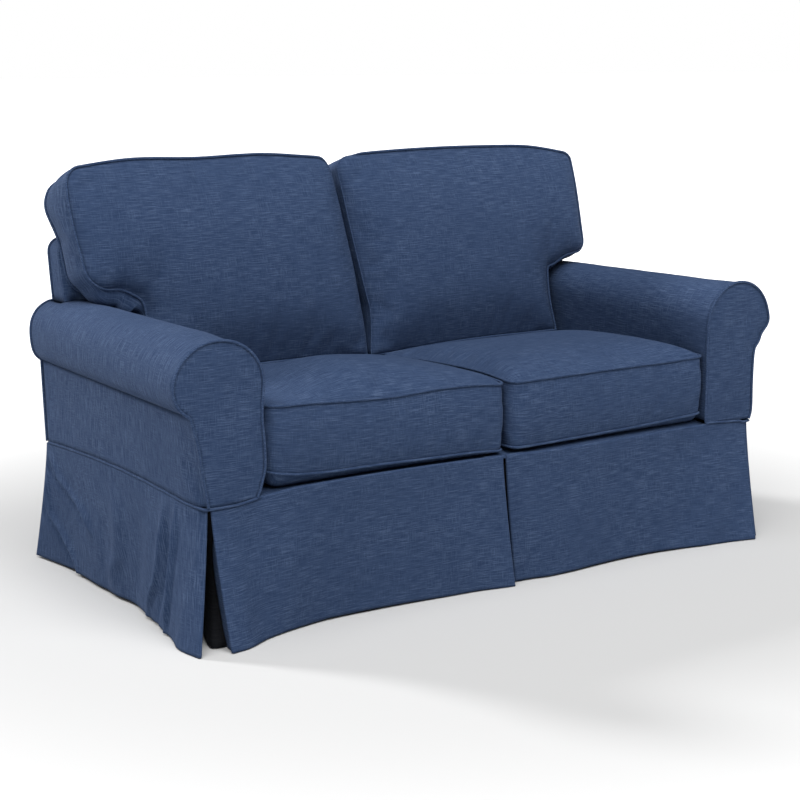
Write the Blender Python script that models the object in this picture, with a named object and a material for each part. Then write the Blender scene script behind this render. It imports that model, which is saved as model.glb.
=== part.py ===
"""Fitted slipcover of a two-seat roll-arm sofa: hollow cover, skirt and four loose filled cushions.

Metres, +Z up, +X to the right as seen from the front, front edge towards -Y.
The origin is on the floor under the middle of the whole cover. Depths run back from the
plane of the two arm fronts, and side +1 is the right half, -1 the left half.
"""
import math

import bmesh
import bpy
from mathutils import Vector

# Driving sizes
arm_front_y = -0.3503
cloth = 0.0025
cord_radius = 0.003
seam_gap = 0.0004
lean_gap = 0.0010
cord_offset = (cord_radius + seam_gap) / math.sqrt(2)
rear_cord_out = cord_radius + seam_gap / 2
rear_cord_proud = 0.0013

# Arms: the roll is a circle in front and a slightly squared oval behind
well_half = 0.589
roll_front = {"middle": 0.685, "height": 0.506, "reach": 0.096, "rise": 0.097, "power": 2.0}
roll_back = {"middle": 0.674, "height": 0.510, "reach": 0.085, "rise": 0.080, "power": 2.4}
roll_front_sink = {-1: 0.007, 1: -0.002}
roll_tuck = {-1: 0.004, 1: 0.012}
neck_front = {-1: {"out": 0.7455, "height": 0.4545}, 1: {"out": 0.7420, "height": 0.4655}}
neck_back = {"out": 0.7400, "height": 0.4600}

# Outer edge of each arm front as (height, out), and the skirt seam's plan as (depth, out)
post_edge = {
    -1: ((0.271, 0.7130), (0.34, 0.722), (0.40, 0.7310), (0.452, 0.7455)),
    1: ((0.271, 0.7275), (0.32, 0.734), (0.40, 0.7355), (0.462, 0.7420)),
}
seam_side = {
    -1: ((0.0, 0.7130), (0.02, 0.7260), (0.06, 0.7320), (0.40, 0.7380), (0.70, 0.745)),
    1: ((0.0, 0.7275), (0.02, 0.7365), (0.06, 0.7385), (0.40, 0.7395), (0.70, 0.745)),
}
seam_corner = 0.745

# Back frame: both faces lean, and the outer one also closes the arms behind
outside_back_depth = 0.700
outside_back_lean = 0.15
inside_back_depth = 0.640
inside_back_lean = 0.25
inside_back_level = 0.430
frame_half = 0.698
frame_top = 0.722
frame_corner = 0.030

# Deck and the corded seam that carries the skirt
deck_top = 0.2885
seam_height = 0.287
seam_droop = 0.016
seam_sag = 0.013
seam_margin = 0.0045

# Skirt
pleat_turn = 0.004
pleat_return = 0.045

# Colours, linear
navy = (0.030, 0.062, 0.165, 1.0)
navy_light = (0.038, 0.076, 0.190, 1.0)
navy_dark = (0.022, 0.046, 0.125, 1.0)
weave_roughness = 0.92


def place(x, depth, height):
    """A point from its side position, its depth behind the arm fronts and its height."""
    return Vector((x, arm_front_y + depth, height))


def mix(start, end, share):
    """The value a share of the way from start to end."""
    return start + (end - start) * share


def along(table, position):
    """Read a short table of (position, value) rows, straight between its rows."""
    if position <= table[0][0]:
        return table[0][1]
    for (here, value), (there, following) in zip(table, table[1:]):
        if position <= there:
            return mix(value, following, (position - here) / (there - here))
    return table[-1][1]


def fabric(name, colour):
    """A plain woven material of one colour."""
    material = bpy.data.materials.new(name)
    material.use_nodes = True
    shader = material.node_tree.nodes["Principled BSDF"]
    shader.inputs["Base Color"].default_value = colour
    shader.inputs["Roughness"].default_value = weave_roughness
    shader.inputs["Metallic"].default_value = 0.0
    material.diffuse_color = colour
    return material


def add_object(name, bm, colour, smooth=True):
    """Turn a finished bmesh into a named object with its own material."""
    mesh = bpy.data.meshes.new(name)
    bm.to_mesh(mesh)
    bm.free()
    if smooth:
        mesh.shade_smooth()
        mesh.set_sharp_from_angle(angle=math.radians(50))
    mesh.materials.append(fabric(name + "_cloth", colour))
    piece = bpy.data.objects.new(name, mesh)
    bpy.context.collection.objects.link(piece)
    return piece


def thicken(piece):
    """Give a single surface its cloth thickness, behind the face that shows."""
    solidify = piece.modifiers.new("cloth", "SOLIDIFY")
    solidify.thickness = cloth
    solidify.offset = -1.0
    solidify.use_even_offset = True
    return piece


def add_sheet(name, rows, colour, flip=False, keep=None):
    """A cloth sheet over a grid of points; keep(row, column) leaves cells out."""
    bm = bmesh.new()
    corners = [[bm.verts.new(point) for point in row] for row in rows]
    for i in range(len(rows) - 1):
        for j in range(len(rows[0]) - 1):
            if keep and not keep(i, j):
                continue
            ring = [corners[i][j], corners[i][j + 1], corners[i + 1][j + 1], corners[i + 1][j]]
            bm.faces.new(ring[::-1] if flip else ring)
    loose = [vert for vert in bm.verts if not vert.link_faces]
    bmesh.ops.delete(bm, geom=loose, context="VERTS")
    return thicken(add_object(name, bm, colour))


def add_panel(name, outline, colour, flip=False):
    """A flat cut panel from its outline."""
    bm = bmesh.new()
    ring = [bm.verts.new(point) for point in outline]
    bm.faces.new(ring[::-1] if flip else ring)
    return thicken(add_object(name, bm, colour, smooth=False))


def add_cord(name, points, colour, closed=False):
    """A corded welt: a round tube of cloth over a cord, along a path."""
    curve = bpy.data.curves.new(name, "CURVE")
    curve.dimensions = "3D"
    curve.bevel_depth = cord_radius
    curve.bevel_resolution = 1
    curve.use_fill_caps = True
    spline = curve.splines.new("POLY")
    spline.points.add(len(points) - 1)
    for target, point in zip(spline.points, points):
        target.co = (*point, 1.0)
    spline.use_cyclic_u = closed
    curve.materials.append(fabric(name + "_cloth", colour))
    piece = bpy.data.objects.new(name, curve)
    bpy.context.collection.objects.link(piece)
    return piece


# ---- frame of the cover -------------------------------------------------------------

def inside_back_at(height):
    """Depth of the inside back's front face."""
    return inside_back_depth + inside_back_lean * (height - inside_back_level)


def outside_back_at(height):
    """Depth of the outside back's rear face."""
    return outside_back_depth + outside_back_lean * (height - seam_height)


def seam_plan_side(depth, side):
    """How far out the skirt seam runs at a depth along a side."""
    return along(seam_side[side], depth)


def seam_level(x, depth):
    """Height of the skirt seam: it droops at the front corners and lifts along the sides."""
    if depth < 0.001:
        return seam_height - seam_droop * along(((0.58, 0.0), (0.705, 1.0)), abs(x))
    rear_corner = seam_height - 0.010
    if depth > 0.695:
        return along(((0.55, seam_height - 0.006), (seam_corner, rear_corner)), abs(x))
    run = depth / outside_back_depth
    return mix(seam_height - seam_droop, rear_corner, run) + seam_sag * math.sin(math.pi * run)


roll_angles = (180, 162, 145, 128, 111, 92, 71, 52, 34, 17, 0, -16)


def roll_shape(run):
    """Measures of the roll a share of the way from its front to its back."""
    return {key: mix(roll_front[key], roll_back[key], run) for key in roll_front}


def neck_at(run, side):
    """Neck under the roll, as (out, height), a share of the way back."""
    front = neck_front[side]
    return mix(front["out"], neck_back["out"], run), mix(front["height"], neck_back["height"], run)


def arm_section(run, side, spread=0.0, sink=0.0):
    """Points (out, height) over an arm: up the wall of the well, round the roll, to the neck."""
    shape = roll_shape(run)
    shape["rise"] -= sink
    wall = well_half - spread
    points = [(wall, deck_top + seam_gap + spread), (wall, mix(deck_top, shape["height"], 0.5))]
    for angle in roll_angles:
        across = math.cos(math.radians(angle))
        up = math.sin(math.radians(angle))
        out = math.copysign(abs(across) ** (2 / shape["power"]), across) * (shape["reach"] + spread)
        rise = math.copysign(abs(up) ** (2 / shape["power"]), up) * (shape["rise"] + spread)
        points.append((shape["middle"] + out, shape["height"] + rise))
    neck_out, neck_height = neck_at(run, side)
    points[-1] = (points[-1][0] - roll_tuck[side] * (1 - run), points[-1][1])
    last_out, last_height = points[-1]
    points.append((mix(last_out, neck_out, 0.55) + 0.003, mix(last_height, neck_height, 0.55) - spread))
    points.append((neck_out, neck_height - spread))
    return points


wall_points = 2
frame_station = wall_points + roll_angles.index(71)


def add_arm_roll(name, side):
    """Inside arm and roll in one panel, notched round the back frame."""
    front = cloth + seam_gap
    depths = (0.0, 0.07, 0.2, 0.35, 0.5)
    columns = []
    for depth in depths:
        sink = roll_front_sink[side] * max(0.0, 1 - depth / 0.1)
        section = arm_section(depth / outside_back_depth, side, sink=sink)
        columns.append([(out, max(depth, front), height) for out, height in section])
    notch = [(out, inside_back_at(height) + 0.3 * cloth, height) for out, height in arm_section(0.88, side)]
    columns.append(notch)
    middle = [(out, mix(inside_back_at(height), outside_back_at(height), 0.6), height)
              for out, height in arm_section(0.94, side)]
    columns.append(middle)
    last = [(out, outside_back_at(height) - cloth - lean_gap, height)
            for out, height in arm_section(1.0, side)]
    columns.append(last)
    rows = [[place(side * out, depth, height) for out, depth, height in column] for column in columns]
    first_free = len(depths)

    def keep(row, column):
        return row < first_free or column >= frame_station

    add_sheet(name, rows, navy_light, flip=side < 0, keep=keep)


def arm_front_outline(side):
    """Outline (out, height) of an arm front, from its inner foot over the roll to its outer foot."""
    points = arm_section(0.0, side, sink=roll_front_sink[side])
    points[0] = (well_half, seam_height + seam_margin)
    foot = seam_height - seam_droop + seam_margin
    return points + [(along(post_edge[side], height), height) for height in (0.43, 0.40, 0.36, 0.32, foot)]


def mitre(before, here, after):
    """Sideways vector at a corner that keeps a parallel path one unit to the right."""
    first = (here - before) if (here - before).length > 0 else (after - here)
    second = (after - here) if (after - here).length > 0 else first
    first_side = Vector((first.y, -first.x)).normalized()
    second_side = Vector((second.y, -second.x)).normalized()
    middle = (first_side + second_side).normalized()
    return middle / max(middle.dot(first_side), 0.5)


def offset_path(points, distance):
    """Shift a clockwise path of (out, height) points outwards, keeping it parallel."""
    plan = [Vector(point) for point in points]
    shifted = []
    for i, here in enumerate(plan):
        before = plan[max(i - 1, 0)]
        after = plan[min(i + 1, len(plan) - 1)]
        shifted.append(tuple(here - mitre(before, here, after) * distance))
    return shifted


def add_arm_front(side, word):
    """Front panel of an arm, and the welt round it."""
    outline = arm_front_outline(side)
    points = [place(side * out, 0.0, height) for out, height in outline]
    add_panel("arm_front_" + word, points, navy, flip=side > 0)
    path = offset_path(outline, cord_offset)
    welt = [place(side * out, -cord_offset, height) for out, height in path]
    add_cord("arm_front_welt_" + word, welt, navy_dark)


def add_outside_arm(side, word):
    """Side panel below the roll."""
    depths = (cloth + seam_gap, 0.02, 0.06, 0.22, 0.4, 0.56)
    rows = []
    for depth in depths + (outside_back_depth,):
        run = depth / outside_back_depth
        foot = seam_level(seam_corner, min(max(depth, 0.002), 0.69)) + seam_margin
        top_out, top = neck_at(run, side)
        column = []
        for share in (0.0, 0.35, 0.7, 1.0):
            height = mix(foot, top - 0.0008, share)
            real_depth = depth if run < 1 else outside_back_at(height) - cloth - seam_gap
            flat = mix(seam_plan_side(depth, side), top_out - 0.0010, share)
            edged = mix(along(post_edge[side], height), flat, along(((0.0, 0.0), (0.06, 1.0)), depth))
            column.append(place(side * edged, real_depth, height))
        rows.append(column)
    add_sheet("outside_arm_" + word, rows, navy, flip=side > 0)


def frame_outline():
    """Half outline (out, height) of the back frame above the arm, ending at the middle of its top."""
    start = arm_section(0.94, 1)[frame_station][1] - 0.002
    points = [(frame_half, start), (frame_half, mix(start, frame_top - frame_corner, 0.5))]
    for angle in (0, 30, 60, 90):
        turn = math.radians(angle)
        points.append((frame_half - frame_corner + frame_corner * math.cos(turn),
                       frame_top - frame_corner + frame_corner * math.sin(turn)))
    points.append((0.35, frame_top - 0.002))
    points.append((0.0, frame_top - 0.004))
    return points


def whole_path(half):
    """Mirror a half path that ends on the middle line into a whole one, left to right."""
    left = [(-out, height) for out, height in half]
    return left + half[-2::-1]


def add_back_band():
    """Band over the sides and top of the back frame, between its two faces."""
    path = whole_path(frame_outline())
    rows = []
    for share in (0.0, 0.5, 1.0):
        row = []
        for x, height in path:
            near = inside_back_at(height) + cloth + seam_gap
            far = outside_back_at(height) - cloth - lean_gap
            row.append(place(x, mix(near, far, share), height))
        rows.append(row)
    add_sheet("back_band", rows, navy)


def on_frame_side(start, end):
    """Where a line of (out, height) points crosses the side of the back frame."""
    share = (frame_half - start[0]) / (end[0] - start[0])
    return frame_half, mix(start[1], end[1], share)


def add_inside_back():
    """Front face of the back frame, fitted over both arms."""
    clear = 0.0012
    over_arm = arm_section(0.88, 1, clear)[:frame_station + 1]
    over_arm[-1] = on_frame_side(over_arm[-2], over_arm[-1])
    half = over_arm + frame_outline()[1:]
    path = whole_path(half)
    outline = [place(x, inside_back_at(height), height) for x, height in path]
    add_panel("inside_back", outline, navy_light, flip=True)


def outside_back_half():
    """Half outline (out, height) of the outside back, round the arm's end and up the frame."""
    foot = seam_level(0.0, outside_back_depth) + seam_margin
    side = [(seam_corner, seam_level(seam_corner, outside_back_depth) + seam_margin)]
    side.append((mix(side[0][0], neck_back["out"], 0.5), mix(side[0][1], neck_back["height"], 0.5)))
    section = arm_section(1.0, 1)
    around_end = section[frame_station:][::-1]
    around_end[-1] = on_frame_side(section[frame_station - 1], section[frame_station])
    up_frame = frame_outline()[1:]
    return foot, side + around_end + up_frame


def add_outside_back():
    """Rear face of the whole cover, and the welt round it."""
    foot, half = outside_back_half()
    path = whole_path(half)
    base = [(0.55, foot), (0.0, foot), (-0.55, foot)]
    outline = [place(x, outside_back_at(height), height) for x, height in path + base]
    add_panel("outside_back", outline, navy)
    welt = offset_path(path, rear_cord_out)
    add_cord("outside_back_welt",
             [place(x, outside_back_at(height) + rear_cord_proud, height) for x, height in welt], navy_dark)


def add_deck():
    """Platform under the seat cushions."""
    rear = inside_back_at(deck_top) + cloth
    half = well_half + cloth
    front = cord_radius + 2 * seam_gap
    outline = [(-half, front), (half, front), (half, rear), (-half, rear)]
    add_panel("seat_deck", [place(x, depth, deck_top) for x, depth in outline], navy_dark)


def seam_half(side):
    """One half of the skirt seam's plan as (out, depth) points, from its front to its rear middle."""
    front = [(out, 0.0) for out in (0.2, 0.4, 0.52, 0.60, 0.66)]
    foot = along(seam_side[side], 0.0)
    corner = [(foot - 0.008, 0.0), (foot + 0.0065, 0.0035)]
    depths = (0.02, 0.06, 0.14, 0.24, 0.35, 0.46, 0.56, 0.64, 0.692)
    beside = [(seam_plan_side(depth, side), depth) for depth in depths]
    rear = outside_back_depth - 0.0015
    behind = [(out, rear) for out in (seam_corner - 0.005, 0.64, 0.55, 0.3)]
    return front + corner + beside + behind


def add_seam_welt():
    """Corded seam between the cover and its skirt."""
    right_half = seam_half(1) + [(0.0, outside_back_depth - 0.0015)]
    left_half = [(-out, depth) for out, depth in seam_half(-1)]
    loop = [(0.0, 0.0)] + right_half + left_half[::-1]
    points = [place(x, depth, seam_level(x, depth)) for x, depth in loop]
    add_cord("skirt_seam_welt", points, navy_dark, closed=True)


# ---- skirt --------------------------------------------------------------------------

skirt_drops = (0.0, 0.2, 0.45, 0.72, 1.0)


def skirt_rows(stations):
    """Rows of points from seam to hem for stations of (seam point, hem point)."""
    rows = []
    for drop in skirt_drops:
        swing = drop ** 1.25
        row = []
        for top, hem in stations:
            flat = Vector((mix(top.x, hem.x, swing), mix(top.y, hem.y, swing), mix(top.z, hem.z, drop)))
            row.append(flat)
        rows.append(row)
    return rows


def point_back(line, distance):
    """The point a distance back from the end of a line of points."""
    for end, start in zip(line[::-1], line[-2::-1]):
        length = (end - start).length
        if distance <= length:
            return end.lerp(start, distance / length)
        distance -= length
    return line[0]


def turned_edge(stations, inward):
    """Stations that carry a panel's last edge round a pleat fold and back behind it."""
    extra = []
    lines = []
    for k in (0, 1):
        line = [station[k] for station in stations]
        run = (line[-1] - line[-2]).normalized()
        lines.append((line, run, (inward - run * inward.dot(run)).normalized()))
    for angle in (45, 90, 135, 180):
        turn = math.radians(angle)
        extra.append(tuple(line[-1] + (run * math.sin(turn) + side * (1 - math.cos(turn))) * pleat_turn
                           for line, run, side in lines))
    for share in (0.5, 1.0):
        extra.append(tuple(point_back(line, pleat_return * share) + side * (2 * pleat_turn)
                           for line, run, side in lines))
    return extra


right = Vector((1, 0, 0))
back = Vector((0, 1, 0))

# Hem of each front panel: (side position, depth, height)
front_left_hem = (
    (-0.700, -0.070, 0.002), (-0.664, -0.064, 0.002), (-0.603, -0.037, 0.003), (-0.519, -0.012, 0.004),
    (-0.430, -0.002, 0.005), (-0.300, -0.006, 0.005), (-0.152, -0.015, 0.003), (-0.082, -0.021, 0.003),
    (-0.031, -0.031, 0.002), (0.004, -0.037, 0.001),
)
front_right_hem = (
    (0.027, -0.015, 0.003), (0.066, -0.019, 0.004), (0.138, -0.028, 0.004), (0.258, -0.022, 0.005),
    (0.409, -0.021, 0.005), (0.547, -0.041, 0.003), (0.606, -0.046, 0.002), (0.698, -0.068, 0.002),
)
# Hem of each side: (depth, distance out, height); the left one flares more at its front corner
left_side_hem = (
    (-0.050, 0.777, 0.002), (-0.006, 0.782, 0.002), (0.021, 0.779, 0.002), (0.076, 0.764, 0.004),
    (0.133, 0.756, 0.006), (0.200, 0.746, 0.008), (0.293, 0.735, 0.008), (0.363, 0.737, 0.008),
    (0.447, 0.743, 0.008), (0.552, 0.742, 0.008), (0.613, 0.739, 0.006), (0.699, 0.750, 0.004),
    (0.742, 0.761, 0.002),
)
right_side_hem = (
    (-0.046, 0.724, 0.002), (-0.006, 0.742, 0.002), (0.040, 0.750, 0.003), (0.110, 0.748, 0.006),
    (0.190, 0.741, 0.008), (0.280, 0.744, 0.008), (0.370, 0.738, 0.008), (0.460, 0.742, 0.008),
    (0.552, 0.741, 0.008), (0.640, 0.744, 0.006), (0.742, 0.760, 0.002),
)
# Soft folds of each panel: (position at the seam, at the hem, half width, height, where it starts)
left_side_folds = (
    (0.700, 0.625, 0.050, 0.009, 0.05), (0.560, 0.520, 0.060, -0.006, 0.20),
    (0.375, 0.385, 0.050, 0.008, 0.25), (0.150, 0.205, 0.045, 0.009, 0.20),
    (0.085, 0.085, 0.035, 0.006, 0.15),
)
right_side_folds = (
    (0.690, 0.640, 0.050, 0.008, 0.10), (0.480, 0.460, 0.060, 0.007, 0.20),
    (0.250, 0.280, 0.060, -0.006, 0.20), (0.120, 0.140, 0.045, 0.008, 0.20),
)
front_left_folds = ((-0.600, -0.610, 0.040, -0.006, 0.0), (-0.480, -0.500, 0.050, 0.005, 0.1))
front_right_folds = ((0.500, 0.480, 0.060, -0.005, 0.1), (0.620, 0.600, 0.050, 0.005, 0.1))
back_hem = (
    (0.700, 0.749, 0.002), (0.60, 0.739, 0.003), (0.45, 0.733, 0.004), (0.2, 0.734, 0.004),
    (0.0, 0.733, 0.004),
)


def fill_in(hem, pieces):
    """Extra stations between those of a hem table."""
    filled = []
    for start, end in zip(hem, hem[1:]):
        filled += [tuple(mix(a, b, k / pieces) for a, b in zip(start, end)) for k in range(pieces)]
    return filled + [hem[-1]]


def fold_height(folds, position, drop):
    """How far soft folds stand out at a position along a panel and a share of the way down."""
    total = 0.0
    for at_seam, at_hem, half_width, height, start in folds:
        reach = abs(position - mix(at_seam, at_hem, drop)) / half_width
        if reach < 1 and drop > start:
            total += height * (0.5 + 0.5 * math.cos(math.pi * reach)) * (drop - start) / (1 - start)
    return total


def skirt_panel(name, stations, positions, folds, outward, flip):
    """Skirt panel with soft folds, both its ends turned back into their pleats."""
    before = turned_edge(stations[::-1], -outward)[::-1]
    after = turned_edge(stations, -outward)
    rows = skirt_rows(before + stations + after)
    for row, drop in zip(rows, skirt_drops):
        for k, position in enumerate(positions):
            row[len(before) + k] += outward * fold_height(folds, position, drop)
    add_sheet(name, rows, navy_dark, flip=flip)


def add_front_skirt(word, hem, start, end, folds):
    """A front skirt panel between the middle pleat and a corner pleat."""
    hem = fill_in(hem, 2)
    first, last = hem[0][0], hem[-1][0]
    stations = []
    for x, depth, height in hem:
        top_x = mix(start, end, (x - first) / (last - first))
        stations.append((place(top_x, 0.0, seam_level(top_x, 0.0) - seam_margin), place(x, depth, height)))
    skirt_panel("skirt_front_" + word, stations, [point[0] for point in hem], folds, -back, True)


def add_side_skirt(side, word, hem, folds):
    """A side skirt panel between its two corner pleats."""
    hem = fill_in(hem, 2)
    first, last = hem[0][0], hem[-1][0]
    stations = []
    for depth, out, height in hem:
        top_depth = mix(0.011, 0.696, (depth - first) / (last - first))
        top = place(side * seam_plan_side(top_depth, side), top_depth,
                    seam_level(seam_corner, min(top_depth, 0.69)) - seam_margin)
        stations.append((top, place(side * out, depth, height)))
    skirt_panel("skirt_side_" + word, stations, [point[0] for point in hem], folds, right * side, side > 0)


def add_back_skirt():
    """The back skirt panel, plain between its two corner pleats."""
    whole = [(-x, depth, height) for x, depth, height in back_hem] + list(back_hem[-2::-1])
    stations = []
    for x, depth, height in whole:
        top_x = x * 0.724 / back_hem[0][0]
        top = place(top_x, outside_back_depth, seam_level(top_x, outside_back_depth) - seam_margin)
        stations.append((top, place(x, depth, height)))
    skirt_panel("skirt_back", stations, [point[0] for point in whole], (), back, False)


def add_underlay(name, tops, hems, flip=False):
    """The inset behind a pleat, from (x, depth) plans at its seam and at its hem."""
    stations = []
    for (x_top, depth_top), (x_hem, depth_hem) in zip(tops, hems):
        top = place(x_top, depth_top, seam_height - seam_droop - seam_margin - 0.002)
        stations.append((top, place(x_hem, depth_hem, 0.004)))
    add_sheet(name, skirt_rows(stations), navy_dark, flip=flip)


# Plan of the insets as (out, depth) points: at the front corners' hems, and at the rear corners
front_inset_hem = {
    -1: ((0.635, -0.026), (0.680, -0.032), (0.712, -0.033), (0.721, -0.022), (0.722, 0.030), (0.718, 0.085)),
    1: ((0.635, -0.026), (0.668, -0.032), (0.692, -0.031), (0.701, -0.022), (0.713, 0.030), (0.715, 0.085)),
}
rear_inset_top = (
    (0.640, 0.6885), (0.675, 0.6885), (0.722, 0.6880), (0.731, 0.6820), (0.7305, 0.650), (0.730, 0.615),
)
rear_inset_hem = (
    (0.640, 0.716), (0.680, 0.718), (0.716, 0.716), (0.724, 0.706), (0.720, 0.660), (0.716, 0.615),
)


def add_pleat_insets():
    """Insets behind the five pleats: four corners and the middle of the front."""
    behind_turn = 2 * pleat_turn + cloth + 0.002
    for side, word in ((-1, "left"), (1, "right")):
        foot = along(seam_side[side], 0.0)
        front_top = [(0.640, 0.0112), (0.675, 0.0112), (foot - 0.009, 0.0116)]
        front_top += [(seam_plan_side(depth, side) - behind_turn, depth) for depth in (0.018, 0.05, 0.085)]
        insets = (("front_", front_top, front_inset_hem[side], side > 0),
                  ("back_", rear_inset_top, rear_inset_hem, side < 0))
        for corner_word, tops, hems, turned in insets:
            mirrored_tops = [(side * x, depth) for x, depth in tops]
            mirrored_hems = [(side * x, depth) for x, depth in hems]
            add_underlay("pleat_inset_" + corner_word + word, mirrored_tops, mirrored_hems, flip=turned)
    middle_top = ((-0.070, 0.0112), (0.0, 0.0112), (0.075, 0.0112))
    middle_hem = ((-0.070, 0.004), (0.015, 0.006), (0.100, 0.004))
    add_underlay("pleat_inset_middle", middle_top, middle_hem, flip=True)


# ---- cushions -----------------------------------------------------------------------

def rim_loop(mask, across, upward):
    """Grid points (i, j) round the edge of the kept cells, anticlockwise."""
    corners = ((0, 0), (1, 0), (1, 1), (0, 1))
    neighbours = ((0, -1), (1, 0), (0, 1), (-1, 0))
    steps = {}
    for i in range(across):
        for j in range(upward):
            if not mask(i, j):
                continue
            for side, (over, up) in enumerate(neighbours):
                near = (i + over, j + up)
                if 0 <= near[0] < across and 0 <= near[1] < upward and mask(*near):
                    continue
                start, end = corners[side], corners[(side + 1) % 4]
                steps[i + start[0], j + start[1]] = (i + end[0], j + end[1])
    loop = [min(steps)]
    while steps[loop[-1]] != loop[0]:
        loop.append(steps[loop[-1]])
    return loop


def add_cushion(name, grid, mask, near_point, far_point, bulge, colour):
    """A filled boxed cushion with a welt round each face.

    grid[i][j] holds plan points; near_point and far_point turn a plan point and its
    distance from the rim into the two faces; bulge tells how far the boxing swells out.
    """
    across = len(grid) - 1
    upward = len(grid[0]) - 1
    rim = rim_loop(mask, across, upward)
    outline = [grid[i][j] for i, j in rim]

    def rim_distance(point):
        nearest = 1.0
        for start, end in zip(outline, outline[1:] + outline[:1]):
            line = end - start
            share = max(0.0, min(1.0, (point - start).dot(line) / line.length_squared))
            nearest = min(nearest, (point - start - line * share).length)
        return nearest

    bm = bmesh.new()
    faces = {}
    for layer, surface in (("near", near_point), ("far", far_point)):
        for i in range(across + 1):
            for j in range(upward + 1):
                faces[layer, i, j] = bm.verts.new(surface(grid[i][j], rim_distance(grid[i][j])))
        for i in range(across):
            for j in range(upward):
                if mask(i, j):
                    cell = ((i, j), (i + 1, j), (i + 1, j + 1), (i, j + 1))
                    ring = [faces[(layer, *corner)] for corner in cell]
                    bm.faces.new(ring if layer == "near" else ring[::-1])
    middles = []
    welts = {"near": [], "far": []}
    for count, (i, j) in enumerate(rim):
        before = outline[count - 1]
        after = outline[(count + 1) % len(outline)]
        outward = mitre(before, outline[count], after)
        near = faces["near", i, j].co
        far = faces["far", i, j].co
        side = (near_point(grid[i][j] + outward * 0.001, 0.0) - near_point(grid[i][j], 0.0)).normalized()
        through = (near - far).normalized()
        corner_ease = 0.45 if near_corner(outline, count) else 1.0
        swelling = outward.length * bulge(outline[count]) * corner_ease
        middles.append(bm.verts.new((near + far) / 2 + side * swelling))
        for layer, corner, away in (("near", near, through), ("far", far, -through)):
            clear = (cord_radius + seam_gap) / (side + away).length
            welts[layer].append(corner + (side * outward.length + away) * clear)
    for count in range(len(rim)):
        following = (count + 1) % len(rim)
        for layer, turned in (("near", False), ("far", True)):
            start, end = faces[(layer, *rim[count])], faces[(layer, *rim[following])]
            ring = [start, middles[count], middles[following], end]
            bm.faces.new(ring[::-1] if turned else ring)
    loose = [vert for vert in bm.verts if not vert.link_faces]
    bmesh.ops.delete(bm, geom=loose, context="VERTS")
    bmesh.ops.recalc_face_normals(bm, faces=bm.faces)
    add_object(name, bm, colour)
    for layer, word in (("near", "front"), ("far", "rear")):
        add_cord(name + "_welt_" + word, welts[layer], navy_dark, closed=True)


def near_corner(outline, count):
    """True where the outline turns sharply at a point."""
    before = outline[count] - outline[count - 1]
    after = outline[(count + 1) % len(outline)] - outline[count]
    return before.angle(after) > math.radians(20)


def swell(distance, reach, rise):
    """Crown of a filled face: steep by its rim, level inside."""
    share = min(distance / reach, 1.0)
    return rise * math.sqrt(1 - (1 - share) ** 2)


def rounded_grid(columns, rows, corners):
    """Plan grid with rounded corners, each given as (x, y, radius, x way out, y way out)."""
    grid = [[Vector((x, y)) for y in rows] for x in columns]
    for corner_x, corner_y, radius, way_x, way_y in corners:
        pivot = Vector((corner_x - way_x * radius, corner_y - way_y * radius))
        for column in grid:
            for point in column:
                a = (point.x - pivot.x) * way_x / radius
                b = (point.y - pivot.y) * way_y / radius
                if -1e-4 < a < 1.0001 and -1e-4 < b < 1.0001:
                    point.x = pivot.x + way_x * radius * a * math.sqrt(1 - b * b / 2)
                    point.y = pivot.y + way_y * radius * b * math.sqrt(1 - a * a / 2)
    return grid


def add_seat_cushion(side, word):
    """Box seat cushion: crowned top, flat underneath, its front corners rounded."""
    inner, front, rear = 0.010, 0.007, 0.594
    outer = 0.579 if side < 0 else 0.5805
    tight = 0.022
    full = 0.044 if side < 0 else 0.016
    columns = [inner, inner + 0.4 * tight, inner + tight, 0.12, 0.22, 0.33, 0.44,
               outer - full, outer - 0.4 * full, outer]
    rows = [front, front + 0.4 * full, front + full, 0.10, 0.20, 0.32, 0.44,
            rear - tight, rear - 0.4 * tight, rear]
    corners = ((inner, front, tight, -1, -1), (outer, front, full, 1, -1),
               (inner, rear, tight, -1, 1), (outer, rear, tight, 1, 1))
    grid = rounded_grid(columns, rows, corners)
    waist = 0.005
    middle = Vector(((inner + outer) / 2, (front + rear) / 2))
    half = Vector((outer - middle.x, rear - middle.y))
    for column in grid:
        for point in column:
            off = Vector(((point.x - middle.x) / half.x, (point.y - middle.y) / half.y))
            point.x -= waist * off.x * math.cos(math.pi / 2 * off.y)
            point.y -= waist * off.y * math.cos(math.pi / 2 * off.x)
    top_seam = ((0.0, 0.436), (0.12, 0.443), (0.30, 0.438), (0.44, 0.428), (0.52, 0.420), (0.60, 0.414))
    crown = ((0.0, 0.026), (0.34, 0.026), (0.48, 0.012), (0.53, 0.005), (0.60, 0.004))
    corner_lift = 0.014 if side < 0 else 0.003

    def lift(plan):
        return corner_lift * max(0.0, 1 - (outer - plan.x) / 0.10) * max(0.0, 1 - (plan.y - front) / 0.10)

    def top(plan, distance):
        height = along(top_seam, plan.y) + swell(distance, 0.16, along(crown, plan.y)) + lift(plan)
        return place(side * plan.x, plan.y, height)

    def underside(plan, distance):
        height = 0.3005 + lift(plan) - swell(distance, 0.08, 0.0085 + lift(plan))
        return place(side * plan.x, plan.y, height)

    def bulge(plan):
        return 0.005

    def mask(i, j):
        return True

    add_cushion("seat_cushion_" + word, grid, mask, top, underside, bulge, navy_light)


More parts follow.
